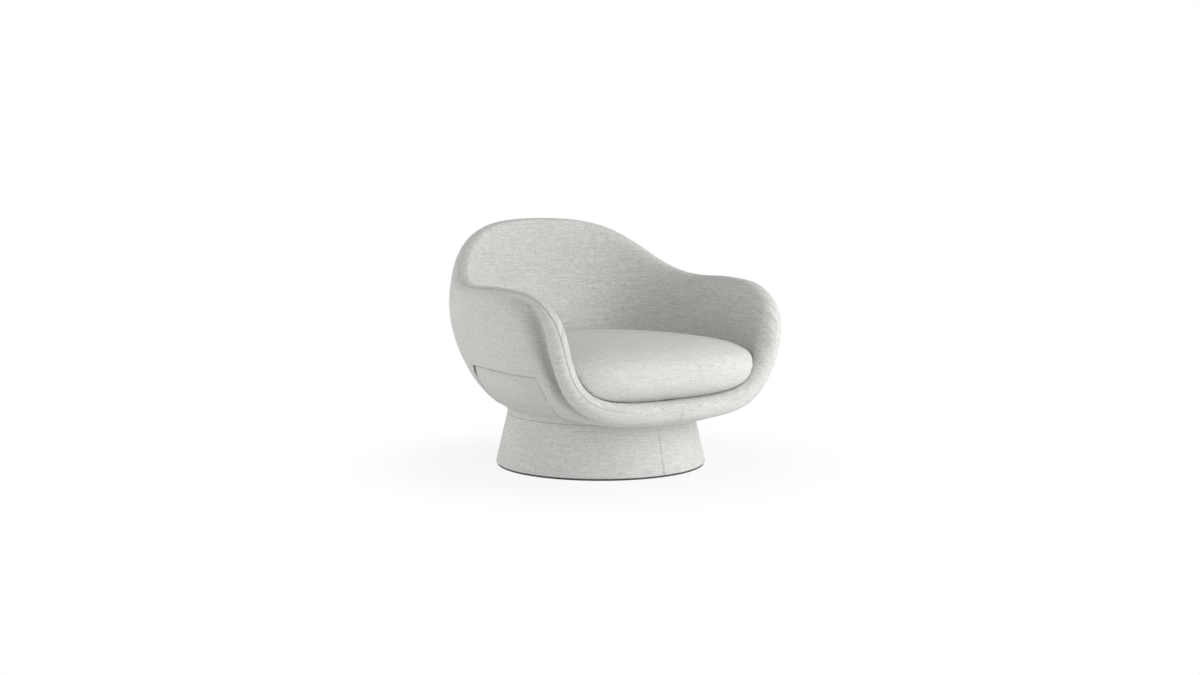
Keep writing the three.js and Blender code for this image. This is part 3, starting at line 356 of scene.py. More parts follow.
shell = {
    "rimHalfWidth": 0.429, "rimFrontReach": 0.377, "rimBackReach": 0.378,
    "railHeight": 0.2, "backHeight": 0.709,
    "upperSwell": 0.1, "upperDrop": 0.2, "lowerSpread": 0.14, "lowerLift": 0.106,
    "neckRadius": 0.278, "neckHeight": 0.196,
    "rollRadius": 0.036, "neckHalfThickness": 0.026, "thinFrom": 0.55,
    "slim": 0.83, "slimEnd": 0.18, "fullStart": 0.35,
    "rimSide": [0, .35, .648, .811, .902, .935, .958, .977, 1, .991, .879, .583, 0],
    "rimForward": [.377, .375115, .360035, .340054, .341939, .321958, .248066, .145899, .038077,
                   -.075978, -.20601, -.328104, -.378],
    "rimRise": [-.003, .001, .038, .158, .35, .538, .617, .637, .639, .629, .693, .976, 1],
    "swell": [-.14, -.2, -.36, -.4, -.18, .08, .15, .12, .09, .18, .45, .66, .74],
    "drop": [0, 0, .05, .24, .47, .635, .65, .625, .62, .66, .79, .94, .995],
    "spread": [.571, .514, .37, .38, .65, .921, .986, .86, .71, .6, .55, .53, .514],
    "lift": [-.113, -.075, .057, .208, .321, .387, .49, .6, .5, .53, .72, .93, 1],
    "neckTurn": [0, .111, .211, .289, .344, .4, .456, .528, .611, .706, .806, .9, 1],
    "upperTurn": 0.45, "lowerTurn": 0.85,
    "crestStart": 0.52, "crestEnd": 0.52, "crestSplit": 0.3, "crestRow": 1.5, "crestHandle": 0.8,
    "crestWall": 0.39, "crestSpan": (0.35, 0.6),
    "valleyDepth": 0.021, "valleySteep": 0.085, "valleyGentle": 0.12, "valleyShade": 0.62,
    "rollFade": (0.4, 0.85),
    "valleyAt": (0, 1.6, 2.96, 3.6, 4.37, 4.94, 5.42, 5.9, 6.8, 7.6),
    "valleyPath": (.12, .115, .11, .1, .078, .045, .015, -.03, -.05, -.05),
    "valleyShare": (0, 0.3, 0.85, 1, 1, 0.95, 0.85, 0.6, 0.2, 0),
}
halfSteps = 12


def guideLoops():
    # four rings of control points: rim, two swells and the neck, mirrored from the +X half
    side = np.array(shell["rimSide"]) * shell["rimHalfWidth"]
    forward = np.array(shell["rimForward"])
    height = shell["railHeight"] + np.array(shell["rimRise"]) * (shell["backHeight"] - shell["railHeight"])
    radius, angle = np.hypot(side, forward), np.arctan2(side, forward)
    neckAngle = np.array(shell["neckTurn"]) * np.pi

    def place(r, a, z):
        return np.stack([r * np.sin(a), -r * np.cos(a), z + 0 * r], -1)

    loops = [
        np.stack([side, -forward, height], -1),
        place(radius + np.array(shell["swell"]) * shell["upperSwell"],
              angle + shell["upperTurn"] * (neckAngle - angle),
              height - np.array(shell["drop"]) * shell["upperDrop"]),
        place(shell["neckRadius"] + np.array(shell["spread"]) * shell["lowerSpread"],
              angle + shell["lowerTurn"] * (neckAngle - angle),
              shell["neckHeight"] + np.array(shell["lift"]) * shell["lowerLift"]),
        place(shell["neckRadius"] + 0 * angle, neckAngle, shell["neckHeight"]),
    ]
    return np.stack([np.concatenate([half, half[-2:0:-1] * [-1, 1, 1]]) for half in loops])


guides = guideLoops()


def onLoops(t):
    # uniform cubic B-spline through each ring, and its derivative along the ring
    cell = np.floor(t).astype(int)
    u = (t - cell)[..., None]
    index = (cell[..., None] + np.arange(-1, 3)) % guides.shape[1]
    weight = np.concatenate([(1 - u) ** 3, 3 * u ** 3 - 6 * u * u + 4, 1 + 3 * u + 3 * u * u - 3 * u ** 3,
                             u ** 3], -1) / 6
    slope = np.concatenate([-3 * (1 - u) ** 2, 9 * u * u - 12 * u, 3 + 6 * u - 9 * u * u, 3 * u * u], -1) / 6
    points = guides[:, index]
    return np.einsum("l...kc,...k->l...c", points, weight), np.einsum("l...kc,...k->l...c", points, slope)


def wallMiddle(t, v):
    # Bezier down the wall over the four rings: point, direction round the rim, direction down
    t, v = np.broadcast_arrays(np.asarray(t, float), np.asarray(v, float))
    ring, alongRing = onLoops(t)
    v = v[..., None]
    b = [(1 - v) ** 3, 3 * v * (1 - v) ** 2, 3 * v * v * (1 - v), v ** 3]
    d = [-3 * (1 - v) ** 2, 3 * (1 - v) ** 2 - 6 * v * (1 - v), 6 * v * (1 - v) - 3 * v * v, 3 * v * v]
    return (sum(w * r for w, r in zip(b, ring)), sum(w * r for w, r in zip(b, alongRing)),
            sum(w * r for w, r in zip(d, ring)))


def halfPlace(t):
    return np.minimum(np.abs(t), np.abs(2 * halfSteps - t)) / halfSteps


def halfThickness(t, v):
    full = smooth(halfPlace(t), shell["slimEnd"], shell["fullStart"])
    share = shell["slim"] + (1 - shell["slim"]) * full
    share = share + (1 - share) * smooth(v, 0, shell["thinFrom"])
    thin = smooth(v, shell["thinFrom"], 1) * (shell["rollRadius"] - shell["neckHalfThickness"])
    return shell["rollRadius"] * share - thin


def offWall(t, v, distance):
    point, along, down = wallMiddle(t, v)
    return point - unit(np.cross(along, down)) * np.asarray(distance)[..., None]


def onRoll(t, angle, radius):
    # rim roll: half a turn over the rim, from facing out (0) to facing in (pi)
    point, along, down = wallMiddle(t, 0 * angle)
    outwards = -unit(np.cross(along, down))
    up = -unit(down)
    skew = np.maximum(np.linalg.norm(np.cross(up, unit(along)), axis=-1), 0.5)
    return (point + (np.cos(angle) * radius)[..., None] * outwards
            + (np.sin(angle) * radius / skew)[..., None] * up)


def crestCurve(t, share):
    # cubic Bezier from the roll's crest down to the inner wall, along both surfaces at its ends
    radius = halfThickness(t, 0 * t)
    tiny = 0.001
    start = onRoll(t, 0 * t + shell["crestStart"] * np.pi, radius)
    inwards = unit(onRoll(t, 0 * t + (shell["crestStart"] + tiny) * np.pi, radius) - start)
    wallAt = lambda v: offWall(t, 0 * t + v, -halfThickness(t, 0 * t + v))
    end = wallAt(shell["crestEnd"])
    upwards = unit(wallAt(shell["crestEnd"] - tiny) - end)
    span = np.linalg.norm(end - start, axis=-1, keepdims=True)
    second = start + inwards * shell["crestHandle"] * radius[..., None]
    third = end + upwards * shell["crestWall"] * span
    u = share[..., None]
    return (1 - u) ** 3 * start + 3 * (1 - u) ** 2 * u * second + 3 * (1 - u) * u * u * third + u ** 3 * end


def crestFull(t):
    return smooth(halfPlace(t), *shell["crestSpan"])[..., None]


def innerRoll(t, angle):
    # the roll's inner half, eased into one curve with the wall on the back and the rear of the arms
    over = np.clip((angle / np.pi - shell["crestStart"]) / (1 - shell["crestStart"]), 0, 1)
    point = onRoll(t, angle, halfThickness(t, 0 * t))
    full = crestFull(t) * (over > 0)[..., None]
    return point + full * (crestCurve(t, shell["crestSplit"] * over ** shell["crestRow"]) - point)


def innerWall(t, v):
    point = offWall(t, v, -halfThickness(t, v))
    full = crestFull(t) * (v < shell["crestEnd"])[..., None]
    split = shell["crestSplit"]
    share = split + (1 - split) * np.clip(v / shell["crestEnd"], 0, 1)
    return point + full * (crestCurve(t, share) - point)


def outerValley(t, v):
    # groove beside the roll: deepest along a path of v, steep towards the roll and gentle towards the panel
    path = np.interp(t, shell["valleyAt"], shell["valleyPath"])
    depth = shell["valleyDepth"] * np.interp(t, shell["valleyAt"], shell["valleyShare"])
    off = v - path
    reach = np.where(off < 0, shell["valleySteep"], shell["valleyGentle"])
    return depth * np.maximum(0, 1 - (off / reach) ** 2) ** 2


window = {"top": 0.334, "front": 0.3625, "frontFoot": 0.28, "back": 0.658, "backFoot": 0.655, "bend": 6,
          "row": 0.6, "recess": 0.0085, "edgeTuck": 0.005, "foldDepth": 0.0078, "foldRadius": 0.0045,
          "flush": 0.002, "backShare": 0.6, "filletFade": (0.82, 1.1), "backFade": (0.61, 0.71),
          "frontDeep": (0.7, 0.75), "frontEase": (0.6, 0.66), "frontShare": 0.3, "frontTuck": 0.007,
          "shade": 1.3, "shadeWidth": 0.0035, "panelMargin": 0.012, "puff": 0.003,
          "pleatRun": 0.021, "pleatSlope": 0.4, "pleatDepth": 0.0024, "pleatWidth": 0.0016,
          "pleatShade": 0.7}
neck = {"row": 0.88, "radius": 0.2865, "height": 0.1586, "wallShare": 0.5, "jointShare": 0.45, "rows": 28,
        "turnRows": 8, "turnIn": 0.02, "edge": 0.001, "hem": 0.0004, "hemAt": 0.0285, "hemWidth": 0.0012}
seams = {"arm": 0.79, "leanTop": 0.42, "leanRate": 1.9, "leanEnd": 0.5, "leanFrom": 5,
         "rimAngle": 0.361, "railAngle": 0.6, "climb": 0.1, "lap": 0.0065,
         "under": 0.05, "dip": 0.0005, "width": 0.0022, "edge": 0.0009, "edgeWidth": 0.0009,
         "shadeWidth": 0.001}
clothWeave = {"outsideRadius": 0.4, "insideRadius": 0.36, "insideRise": 1.08, "tallest": 11.5}
columnStep, rowStep, rowsPerMetre = 0.06, 0.0125, 2
windowFront, windowBack = window["front"] * halfSteps, window["back"] * halfSteps


def windowRow(t):
    # v at which the wall's middle is as high as the window's top, by halving
    t = np.clip(t, windowFront, windowBack)
    low, high = np.zeros_like(t), np.ones_like(t)
    for _ in range(30):
        v = (low + high) / 2
        above = wallMiddle(t, v)[0][..., 2] > window["top"]
        low, high = np.where(above, v, low), np.where(above, high, v)
    return low


def wallPlace(a, row):
    # column a (rim place) and row (0 rim, 0.6 window top, 1 neck) to t and v; lower rows lean to the foot
    shiftFront = (window["frontFoot"] - window["front"]) * halfSteps
    shiftBack = (window["backFoot"] - window["back"]) * halfSteps
    shift = np.interp(a, [0, windowFront, windowBack, halfSteps], [0, shiftFront, shiftBack, 0])
    top = windowRow(a)
    u = np.clip((row - window["row"]) / (1 - window["row"]), 0, 1)
    v = np.where(row <= window["row"], row / window["row"] * top, top + (1 - top) * u)
    return a + shift * (1 - (1 - u) ** window["bend"]), v


def seamAngle(a):
    full = smooth(halfPlace(a), seams["climb"], shell["fullStart"])
    return np.pi * (seams["railAngle"] + (seams["rimAngle"] - seams["railAngle"]) * full)


def rowSlant(points):
    # sine of the angle between rows and columns
    across, down = np.gradient(points, axis=1), np.gradient(points, axis=0)
    return np.linalg.norm(np.cross(unit(across), unit(down)), axis=-1)


def seamDip(distance):
    # groove beside a plain seam, deepest where the two cloths turn in
    d = np.abs(distance)
    return (seams["dip"] * np.exp(-(d / seams["width"]) ** 2)
            + seams["edge"] * np.clip(1 - d / seams["edgeWidth"], 0, 1) ** 2)


def creaseShade(distance, width):
    # painted shade: a dark line of the given half width
    return np.exp(-(np.abs(distance) / width) ** 2)


seamOffsets = np.array([0, .00025, .0006, .0011, .002, .0033, .005, .0075])
perStep = 0.112        # metres of rim in one loop step, about


def edgeOffsets():
    # places close to a seam, on both of its sides, in loop steps
    steps = seamOffsets / perStep
    return np.concatenate([-steps[::-1], steps])


def makeSideRun():
    # heights and run lengths up the wall near the back, its tallest place, for the run of the cloth
    t, v = np.full((241, 1), clothWeave["tallest"]), np.linspace(1, 0, 241)[:, None]
    outer = offWall(t, v, halfThickness(t, v))
    return outer[:, 0, 2], runLengths(outer, 0)[:, 0]


sideRun = makeSideRun()


def coverUv(points, below, count):
    # weft level round the axis, warp by height; on the neck and the roll the run goes on along each column
    down = runLengths(points, 0)
    turn = clothWeave["outsideRadius"] * np.arctan2(np.maximum(np.abs(points[..., 0]), 1e-9), -points[..., 1])
    rise = np.interp(points[..., 2], *sideRun)
    last = below + count - 1
    rise[:below] = rise[below] + down[:below] - down[below]
    rise[last + 1:] = rise[last] + down[last + 1:] - down[last]
    turn[last + 1:] = turn[last]
    return np.stack([turn, rise], -1)


def neckFillet(low, above, depth):
    # Bezier from the foot of the wall to the swivel joint, upright at its end; rows from the joint up
    turn = np.arctan2(low[:, 1], low[:, 0])
    radius = neck["radius"] - depth
    foot = np.stack([radius * np.cos(turn), radius * np.sin(turn), neck["height"] + 0 * turn], -1)
    span = np.linalg.norm(foot - low, axis=-1, keepdims=True)
    second = low + unit(low - above) * neck["wallShare"] * span
    third = foot + np.array([0, 0, 1]) * neck["jointShare"] * span
    u = np.linspace(1, 0, neck["rows"] - neck["turnRows"] + 1)[:-1, None, None]
    curve = (1 - u) ** 3 * low + 3 * (1 - u) ** 2 * u * second + 3 * (1 - u) * u * u * third + u ** 3 * foot
    back = np.linspace(1, 0, neck["turnRows"] + 1)[:-1, None]
    inward = neck["turnIn"] * np.maximum(0, back - 0.25) / 0.75
    angle = np.clip(back / 0.25, 0, 1) * np.pi / 2
    inward = inward + neck["edge"] * (1 - np.cos(angle))
    drop = neck["edge"] * np.sin(angle)
    turned = np.stack([(radius - inward) * np.cos(turn), (radius - inward) * np.sin(turn),
                       neck["height"] - drop + 0 * turn], -1)
    return np.concatenate([turned, curve])


def gridNormals(points):
    # unit normals of a grid by the cross product of its two directions, turned to face away from the axis
    normal = unit(np.cross(np.gradient(points, axis=1), np.gradient(points, axis=0)))
    return normal * np.sign((normal * points * [1, 1, 0]).sum())


def windowDepth(place, row, front=1.0):
    # share of the full depth: it runs out at the foot of the back edge, and to the given share low in front
    back = smooth(place, windowFront, windowBack)
    full, flush = window["backShare"], window["flush"] / window["recess"]
    share = 1 - back * (1 - full + (full - flush) * smooth(row, *window["backFade"]))
    share = share * (1 - (1 - front) * (1 - back) * smooth(row, *window["frontEase"]))
    return share * (1 - smooth(row, *window["filletFade"]))


def foldShade(place, row):
    # share of the fold's painted shade, also used for the panel's tuck: dark low on the front edge and high on
    # the back one, light along the top
    front = smooth(row, *window["frontDeep"]) * (1 - 0.5 * smooth(row, 0.88, 0.97))
    back = 1 - smooth(row, *window["backFade"])
    toFront, toBack = np.abs(place - windowFront), np.abs(place - windowBack)
    low = smooth(row, window["row"] + 0.03, window["row"] + 0.07)
    foot = 1 - smooth(row, 0.85, 1.0)
    return np.where(toFront < toBack, 0.95 - 0.6 * low + 0.6 * front, 0.95 * back) * foot


def widen(place, row, points):
    # place and row for every row of points: the row runs on down the fillet and is 0 over the roll
    below, above = neck["rows"], len(points) - neck["rows"] - len(row)
    columns = place.shape[1]
    fillet = np.broadcast_to(neck["row"] + np.linspace(1, 0, below + 1)[:-1, None], (below, columns))
    rows = np.concatenate([fillet, row, np.zeros((above, columns))])
    return np.broadcast_to(place[:1], rows.shape), rows


def pleatDepth(back, above):
    # short pleat from the top back corner of the window, running back and a little up
    run = back / window["pleatRun"]
    off = above - window["pleatSlope"] * back
    shallow = np.clip(1 - run, 0, 1) * (back > -0.001) * (above > -1e-9)
    return window["pleatDepth"] * shallow * np.exp(-(off / window["pleatWidth"]) ** 2)


def outsideCover(side, name, nodes):
    pleatSteps = np.arange(0.009, 0.025, 0.002)
    a = clustered(0, halfSteps, columnStep, [0, windowFront, windowBack, halfSteps],
                  np.concatenate([edgeOffsets(), pleatSteps / perStep]))
    rows = clustered(0, neck["row"], rowStep, [window["row"]],
                     np.concatenate([edgeOffsets() * perStep, -pleatSteps[:3]]) * rowsPerMetre)[::-1]
    place, row = np.meshgrid(a, rows)
    t, v = wallPlace(place, row)
    wall = offWall(t, v, halfThickness(t, v))
    fillet = neckFillet(wall[0], wall[1], 0)
    rollStart, rollCount = 0.06, 26
    lapAngle = seamAngle(a) - seams["lap"] / 2 / halfThickness(a, 0 * a)
    shares = 1 - np.concatenate([np.linspace(1 - rollStart, 0.08, rollCount),
                                 [.055, .035, .02, .01, .004, 0]])
    rollAngles = np.concatenate([shares[:, None] * lapAngle[None, :], lapAngle[None, :] + seams["under"]])
    rollT = np.broadcast_to(a, rollAngles.shape)
    roll = onRoll(rollT, rollAngles, halfThickness(rollT, 0 * rollT))
    points = np.concatenate([fillet, wall, roll])
    wallOut = offWall(t, v, 1 + 0 * t) - offWall(t, v, 0 * t)
    rollOut = onRoll(rollT, rollAngles, 1 + 0 * rollT) - onRoll(rollT, rollAngles, 0 * rollT)

    # groove beside the roll, along the normals of the smooth wall
    slant = rowSlant(points)
    wallRun = runLengths(wall, 0)[-1] / (v[0] - v[-1])
    rollPlace = -rollAngles * halfThickness(rollT, 0 * rollT) / wallRun
    rollFade = 1 - smooth(np.append(shares, 1), *shell["rollFade"])[:, None]
    valley = np.concatenate([np.zeros(fillet.shape[:2]), outerValley(t, v),
                             outerValley(rollT, rollPlace) * rollFade])
    points = points - np.concatenate([0 * fillet, unit(wallOut), unit(rollOut)]) * valley[..., None]

    # depths: window fold, pleat, centre seam, lapped rim seam, hem
    normal = gridNormals(points)
    across = runLengths(points, 1)
    down = runLengths(points, 0)
    frontColumn, backColumn = np.argmin(abs(a - windowFront)), np.argmin(abs(a - windowBack))
    windowTop = len(fillet) + np.argmin(abs(rows - window["row"]))
    outFront = (across[:, [frontColumn]] - across) * slant
    outBack = (across - across[:, [backColumn]]) * slant
    beside = np.maximum(0, np.maximum(outFront, outBack))
    rise = (down - down[[windowTop]]) * slant
    fromWindow = np.hypot(beside, np.maximum(0, rise))
    radius = window["foldRadius"]
    inside = np.clip(radius - fromWindow, 0, radius)
    fold = radius - np.sqrt(np.maximum(radius ** 2 - inside ** 2, 0))
    everyPlace = widen(place, row, points)
    fold = fold + (window["foldDepth"] - radius) * (fromWindow < 1e-6)
    fold = fold * windowDepth(*everyPlace, window["frontShare"])
    pleat = pleatDepth(outBack, rise)
    fromCentre = np.minimum(across, across[:, [-1]] - across) * slant
    fromLap = down[[-2]] - down
    lapDip = 0.15 * smooth(a, 5.4, 6.6) * seamDip(fromLap) + 0.0003 * (fromLap < -1e-9)
    points = points - normal * (fold + pleat + seamDip(fromCentre) + lapDip)[..., None]
    hem = neck["hem"] * np.exp(-((down - neck["hemAt"]) / neck["hemWidth"]) ** 2)
    points = points - normal * hem[..., None]
    # painted shade along the centre seam, the lapped rim seam, the groove beside the roll, the window's edges,
    # the pleat and the hem
    paintedShade = np.clip(0.3 * creaseShade(fromCentre, seams["shadeWidth"])
                     + 0.05 * smooth(a, 4.5, 6.6) * creaseShade(fromLap, seams["shadeWidth"])
                     + shell["valleyShade"] * valley / shell["valleyDepth"]
                     + window["shade"] * foldShade(*everyPlace) * creaseShade(fromWindow, window["shadeWidth"])
                     + window["pleatShade"] * pleat / window["pleatDepth"] + 0.25 * hem / neck["hem"], 0, 1)
    rowCount, columnCount = len(points), len(a)
    rowIndex, columnIndex = np.meshgrid(np.arange(rowCount - 1), np.arange(columnCount - 1), indexing="ij")
    inWindow = (rowIndex < windowTop) & (columnIndex >= frontColumn) & (columnIndex < backColumn)
    uv = coverUv(points, len(fillet), len(t))
    return finishCover(name, side, points, gridFaces(rowCount, columnCount, ~inWindow), uv, paintedShade, nodes)


def finishCover(name, side, points, faces, uv, paintedShade, nodes, flip=False, cloth="outside", thickness=0.0016,
                body="seat"):
    # the left side is the right one mirrored, with its faces wound to point out
    points = points * [side, 1, 1]
    if (side < 0) != flip:
        faces = faces[:, ::-1]
    cover = meshFromFaces(name, points, faces, uv, paintedShade)
    cover.data.materials.append(linens[cloth])
    wall = cover.modifiers.new("clothThickness", "SOLIDIFY")
    wall.thickness = thickness
    wall.offset = -1
    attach(cover, body)
    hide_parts(*nodes)
    return cover


def sidePanel(side, name, nodes):
    # the set-back panel, which reaches a margin under the window's edges
    margin = window["panelMargin"] / perStep
    a = clustered(windowFront - margin, windowBack + margin, columnStep, [windowFront, windowBack],
                  edgeOffsets())
    rows = clustered(window["row"] - 0.03, neck["row"], rowStep, [window["row"]],
                     edgeOffsets() * perStep * rowsPerMetre)[::-1]
    place, row = np.meshgrid(a, rows)
    t, v = wallPlace(place, row)
    wall = offWall(t, v, halfThickness(t, v) - window["recess"] * windowDepth(place, row, window["frontShare"]))
    fillet = neckFillet(wall[0], wall[1], 0.0005)
    points = np.concatenate([fillet, wall])
    normal = gridNormals(points)
    across = runLengths(points, 1)
    down = runLengths(points, 0)
    top = len(fillet) + np.argmin(abs(rows - window["row"]))
    fromFront = across - across[:, [np.argmin(abs(a - windowFront))]]
    fromBack = across[:, [np.argmin(abs(a - windowBack))]] - across
    fromEdge = np.minimum(np.minimum(fromFront, fromBack), down[[top]] - down)
    allPlace, allRow = widen(place, row, points)
    shade = foldShade(allPlace, allRow) * windowDepth(allPlace, allRow)
    lowFront = smooth(allRow, *window["frontDeep"]) * (1 - smooth(allRow, 0.83, 0.95))
    deep = lowFront * (1 - smooth(fromFront, -0.001, 0.006))
    tuck = (0.4 * window["edgeTuck"] * shade * (1 - smooth(fromEdge, -0.002, 0.008))
            + window["frontTuck"] * deep)
    puff = window["puff"] * smooth(fromEdge, 0, 0.06)
    points = points + normal * ((puff - tuck) * smooth(down, 0.02, 0.06))[..., None]
    # painted shade along the window's edges, darkest low on the front edge
    paintedShade = np.clip(shade * (1 - smooth(fromEdge, -0.001, 0.005))
                     + lowFront * (1 - smooth(fromFront, 0.001, 0.006)), 0, 1)
    uv = coverUv(points, len(fillet), len(t))
    return finishCover(name, side, points, gridFaces(len(points), len(a)), uv, paintedShade, nodes)


def leanPlace(a, v):
    # columns lean towards the arm seam's slant: back at the crest, forward further down
    place = np.minimum(a, 2 * halfSteps - a)
    arm = seams["arm"] * halfSteps
    weight = np.where(place < arm, smooth(place, seams["leanFrom"], arm),
                      np.clip((halfSteps - place) / (halfSteps - arm), 0, 1))
    shift = weight * (seams["leanTop"] - seams["leanRate"] * np.minimum(v, seams["leanEnd"]))
    return a + np.where(a > halfSteps, -shift, shift)


def insideUv(points, first, atBack):
    # weft level round the axis, warp by height; over the roll the run goes on along each column
    down = runLengths(points, 0)
    x, y = points[..., 0], points[..., 1]
    turn = clothWeave["insideRadius"] * (np.arctan2(x, y) if atBack else np.arctan2(np.abs(x), -y))
    rise = clothWeave["insideRise"] * points[..., 2]
    rise[:first] = rise[first] + down[first] - down[:first]
    turn[:first] = turn[first]
    return np.stack([turn, rise], -1)


def insideCover(firstA, lastA, name, side, nodes):
    # over the roll from the lapped seam, then down the inner wall to the seat
    a = clustered(firstA, lastA, columnStep, [firstA, lastA], edgeOffsets())
    lean = leanPlace(a, 0 * a)
    place = np.minimum(lean, 2 * halfSteps - lean)
    lapAngle = seamAngle(place) - seams["lap"] / 2 / halfThickness(place, 0 * a)
    shares = np.concatenate([[0, .004, .01, .018, .028, .04], np.linspace(0.055, 0.98, 44)])
    rollAngles = lapAngle[None, :] + shares[:, None] * (np.pi - lapAngle[None, :])
    rollT = np.broadcast_to(lean, rollAngles.shape)
    roll = innerRoll(rollT, rollAngles)
    v, wallT = np.meshgrid(np.linspace(0, 1, 72), a, indexing="ij")
    wallT = leanPlace(wallT, v)
    wall = innerWall(wallT, v)
    points = np.concatenate([roll, wall])
    normal = unit(np.concatenate([roll - wallMiddle(rollT, 0 * rollT)[0], wall - wallMiddle(wallT, v)[0]]))
    slant = rowSlant(points)
    across = runLengths(points, 1)
    fromSeam = np.minimum(across, across[:, [-1]] - across) * slant
    down = runLengths(points, 0)
    stitchLine = down - seams["lap"]
    lapEdge = 0.0001 * np.exp(-(down / 0.004) ** 2)
    bold = 0.3 + 0.7 * smooth(place, 5.2, 6.6)
    turnedIn = 0.1 * seams["edge"] * np.clip(1 - down / seams["edgeWidth"], 0, 1) ** 2
    stitches = 0.0003 * np.exp(-(stitchLine / 0.0008) ** 2)
    depth = seamDip(fromSeam) + turnedIn - lapEdge + stitches
    points = points - normal * depth[..., None]
    # painted shade along the seam, the lapped edge and the stitch line
    paintedShade = np.clip(0.3 * creaseShade(fromSeam, seams["shadeWidth"]) + 0.15 * bold * creaseShade(down, 0.0008)
                     + 0.12 * bold * creaseShade(stitchLine, 0.0009), 0, 1)
    uv = insideUv(points, len(rollAngles), firstA > 0)
    faces = gridFaces(len(points), len(a))
    cover = finishCover(name, side, points, faces, uv, paintedShade, nodes, flip=True, cloth="inside")
    return cover


armSeam = seams["arm"] * halfSteps
for word, side in (("left", -1), ("right", 1)):
    outsideCover(side, "outsideCover_" + word, ["outside_" + word, "neck_collar"])
    sidePanel(side, "sidePanel_" + word, ["side_panel_" + word])
    insideCover(0, armSeam, "insideArm_" + word, side, ["inside_arm_" + word, "foam_arm_" + word])
insideCover(armSeam, 2 * halfSteps - armSeam, "insideBack", 1, ["inside_back", "foam_back"])
print("shell: covers done")


# Pedestal

pedestal = {"bottom": 0.0053, "top": 0.157, "footRadius": 0.323, "rimRadius": 0.287, "edge": 0.0014,
            "hem": 0.0035, "turnIn": 0.02, "cloth": 0.0018}


def baseCover(side, name, nodes):
    # half a cone: a profile of radius and height turned about Z, with a rounded hem and top edge
    e, h = pedestal["edge"], pedestal["hem"]
    slope = (pedestal["footRadius"] - pedestal["rimRadius"]) / (pedestal["top"] - pedestal["bottom"])
    low, high = pedestal["bottom"] + h, pedestal["top"] - e
    wallZ = np.linspace(low, high, 48)
    radiusAt = lambda z: pedestal["footRadius"] - (z - pedestal["bottom"]) * slope
    turnLow = np.linspace(-np.pi / 2, 0, 8)[:-1]
    turnHigh = np.linspace(0, np.pi / 2, 8)[1:]
    r = np.concatenate([[radiusAt(low) - h - 0.006], radiusAt(low) - h + h * np.cos(turnLow), radiusAt(wallZ),
                        radiusAt(high) - e + e * np.cos(turnHigh), [radiusAt(high) - e - pedestal["turnIn"]]])
    z = np.concatenate([[low - h], low + h * np.sin(turnLow), wallZ, high + e * np.sin(turnHigh), [high + e]])
    arc = np.pi * pedestal["rimRadius"]
    along = clustered(0, arc, 0.008, [0, arc], np.concatenate([seamOffsets, -seamOffsets]))
    turn = -np.pi / 2 + along / arc * np.pi
    fromSeam = np.minimum(along, arc - along)
    radius = r[:, None] - seamDip(fromSeam)[None, :]
    points = np.stack([radius * np.cos(turn), radius * np.sin(turn), z[:, None] + 0 * radius], -1)
    # painted shade along the seam
    paintedShade = np.broadcast_to(0.3 * creaseShade(fromSeam, seams["shadeWidth"])[None, :], radius.shape)
    run = np.concatenate([[0], np.cumsum(np.hypot(np.diff(r), np.diff(z)))])
    uv = np.stack([np.broadcast_to(along[None, :], radius.shape),
                   np.broadcast_to(run[:, None], radius.shape)], -1)
    return finishCover(name, side, points, gridFaces(len(r), len(along)), uv, paintedShade, nodes, cloth="base",
                       thickness=pedestal["cloth"], body="pedestal")


for word, side in (("left", -1), ("right", 1)):
    baseCover(side, "baseCover_" + word, ["base_cover_" + word])
print("pedestal: covers done")


# Cushion

cushion = {"bottom": 0.2311, "top": 0.3945, "equator": 0.298, "sideLift": 0.008, "columns": 200, "rows": 96,
           "clear": 0.0022, "floorEdge": 0.84, "crownPower": 3.1, "inset": 0.006, "voxel": 0.006,
           "pressure": 4.0, "frames": 20, "cap": 0.0095, "evenings": 30,
           "reach": [.389, .405, .44, .49, .44, .39, .37, .35, .335, .325, .316, .31, .307]}
zipStrip = {"halfTurn": 0.41, "height": 0.307, "halfWidth": 0.0125, "sink": 0.0055, "tape": 0.0018,
            "chain": 0.0014, "chainWidth": 0.0024, "pitch": 0.0025, "lip": 0.0009, "lipAt": 0.0062,
            "columns": 520, "rows": 34, "pullLength": 0.009, "pullWidth": 0.0042, "pullHalf": 0.0009}


def closedSpline(values, t):
    loop = np.array(list(values) + list(values[-2:0:-1]))
    cell = np.floor(t).astype(int)
    u = t - cell
    weights = [(1 - u) ** 3, 3 * u ** 3 - 6 * u * u + 4, 1 + 3 * u + 3 * u * u - 3 * u ** 3, u ** 3]
    return sum(w * loop[(cell + k) % len(loop)] for w, k in zip(weights, (-1, 0, 1, 2))) / 6


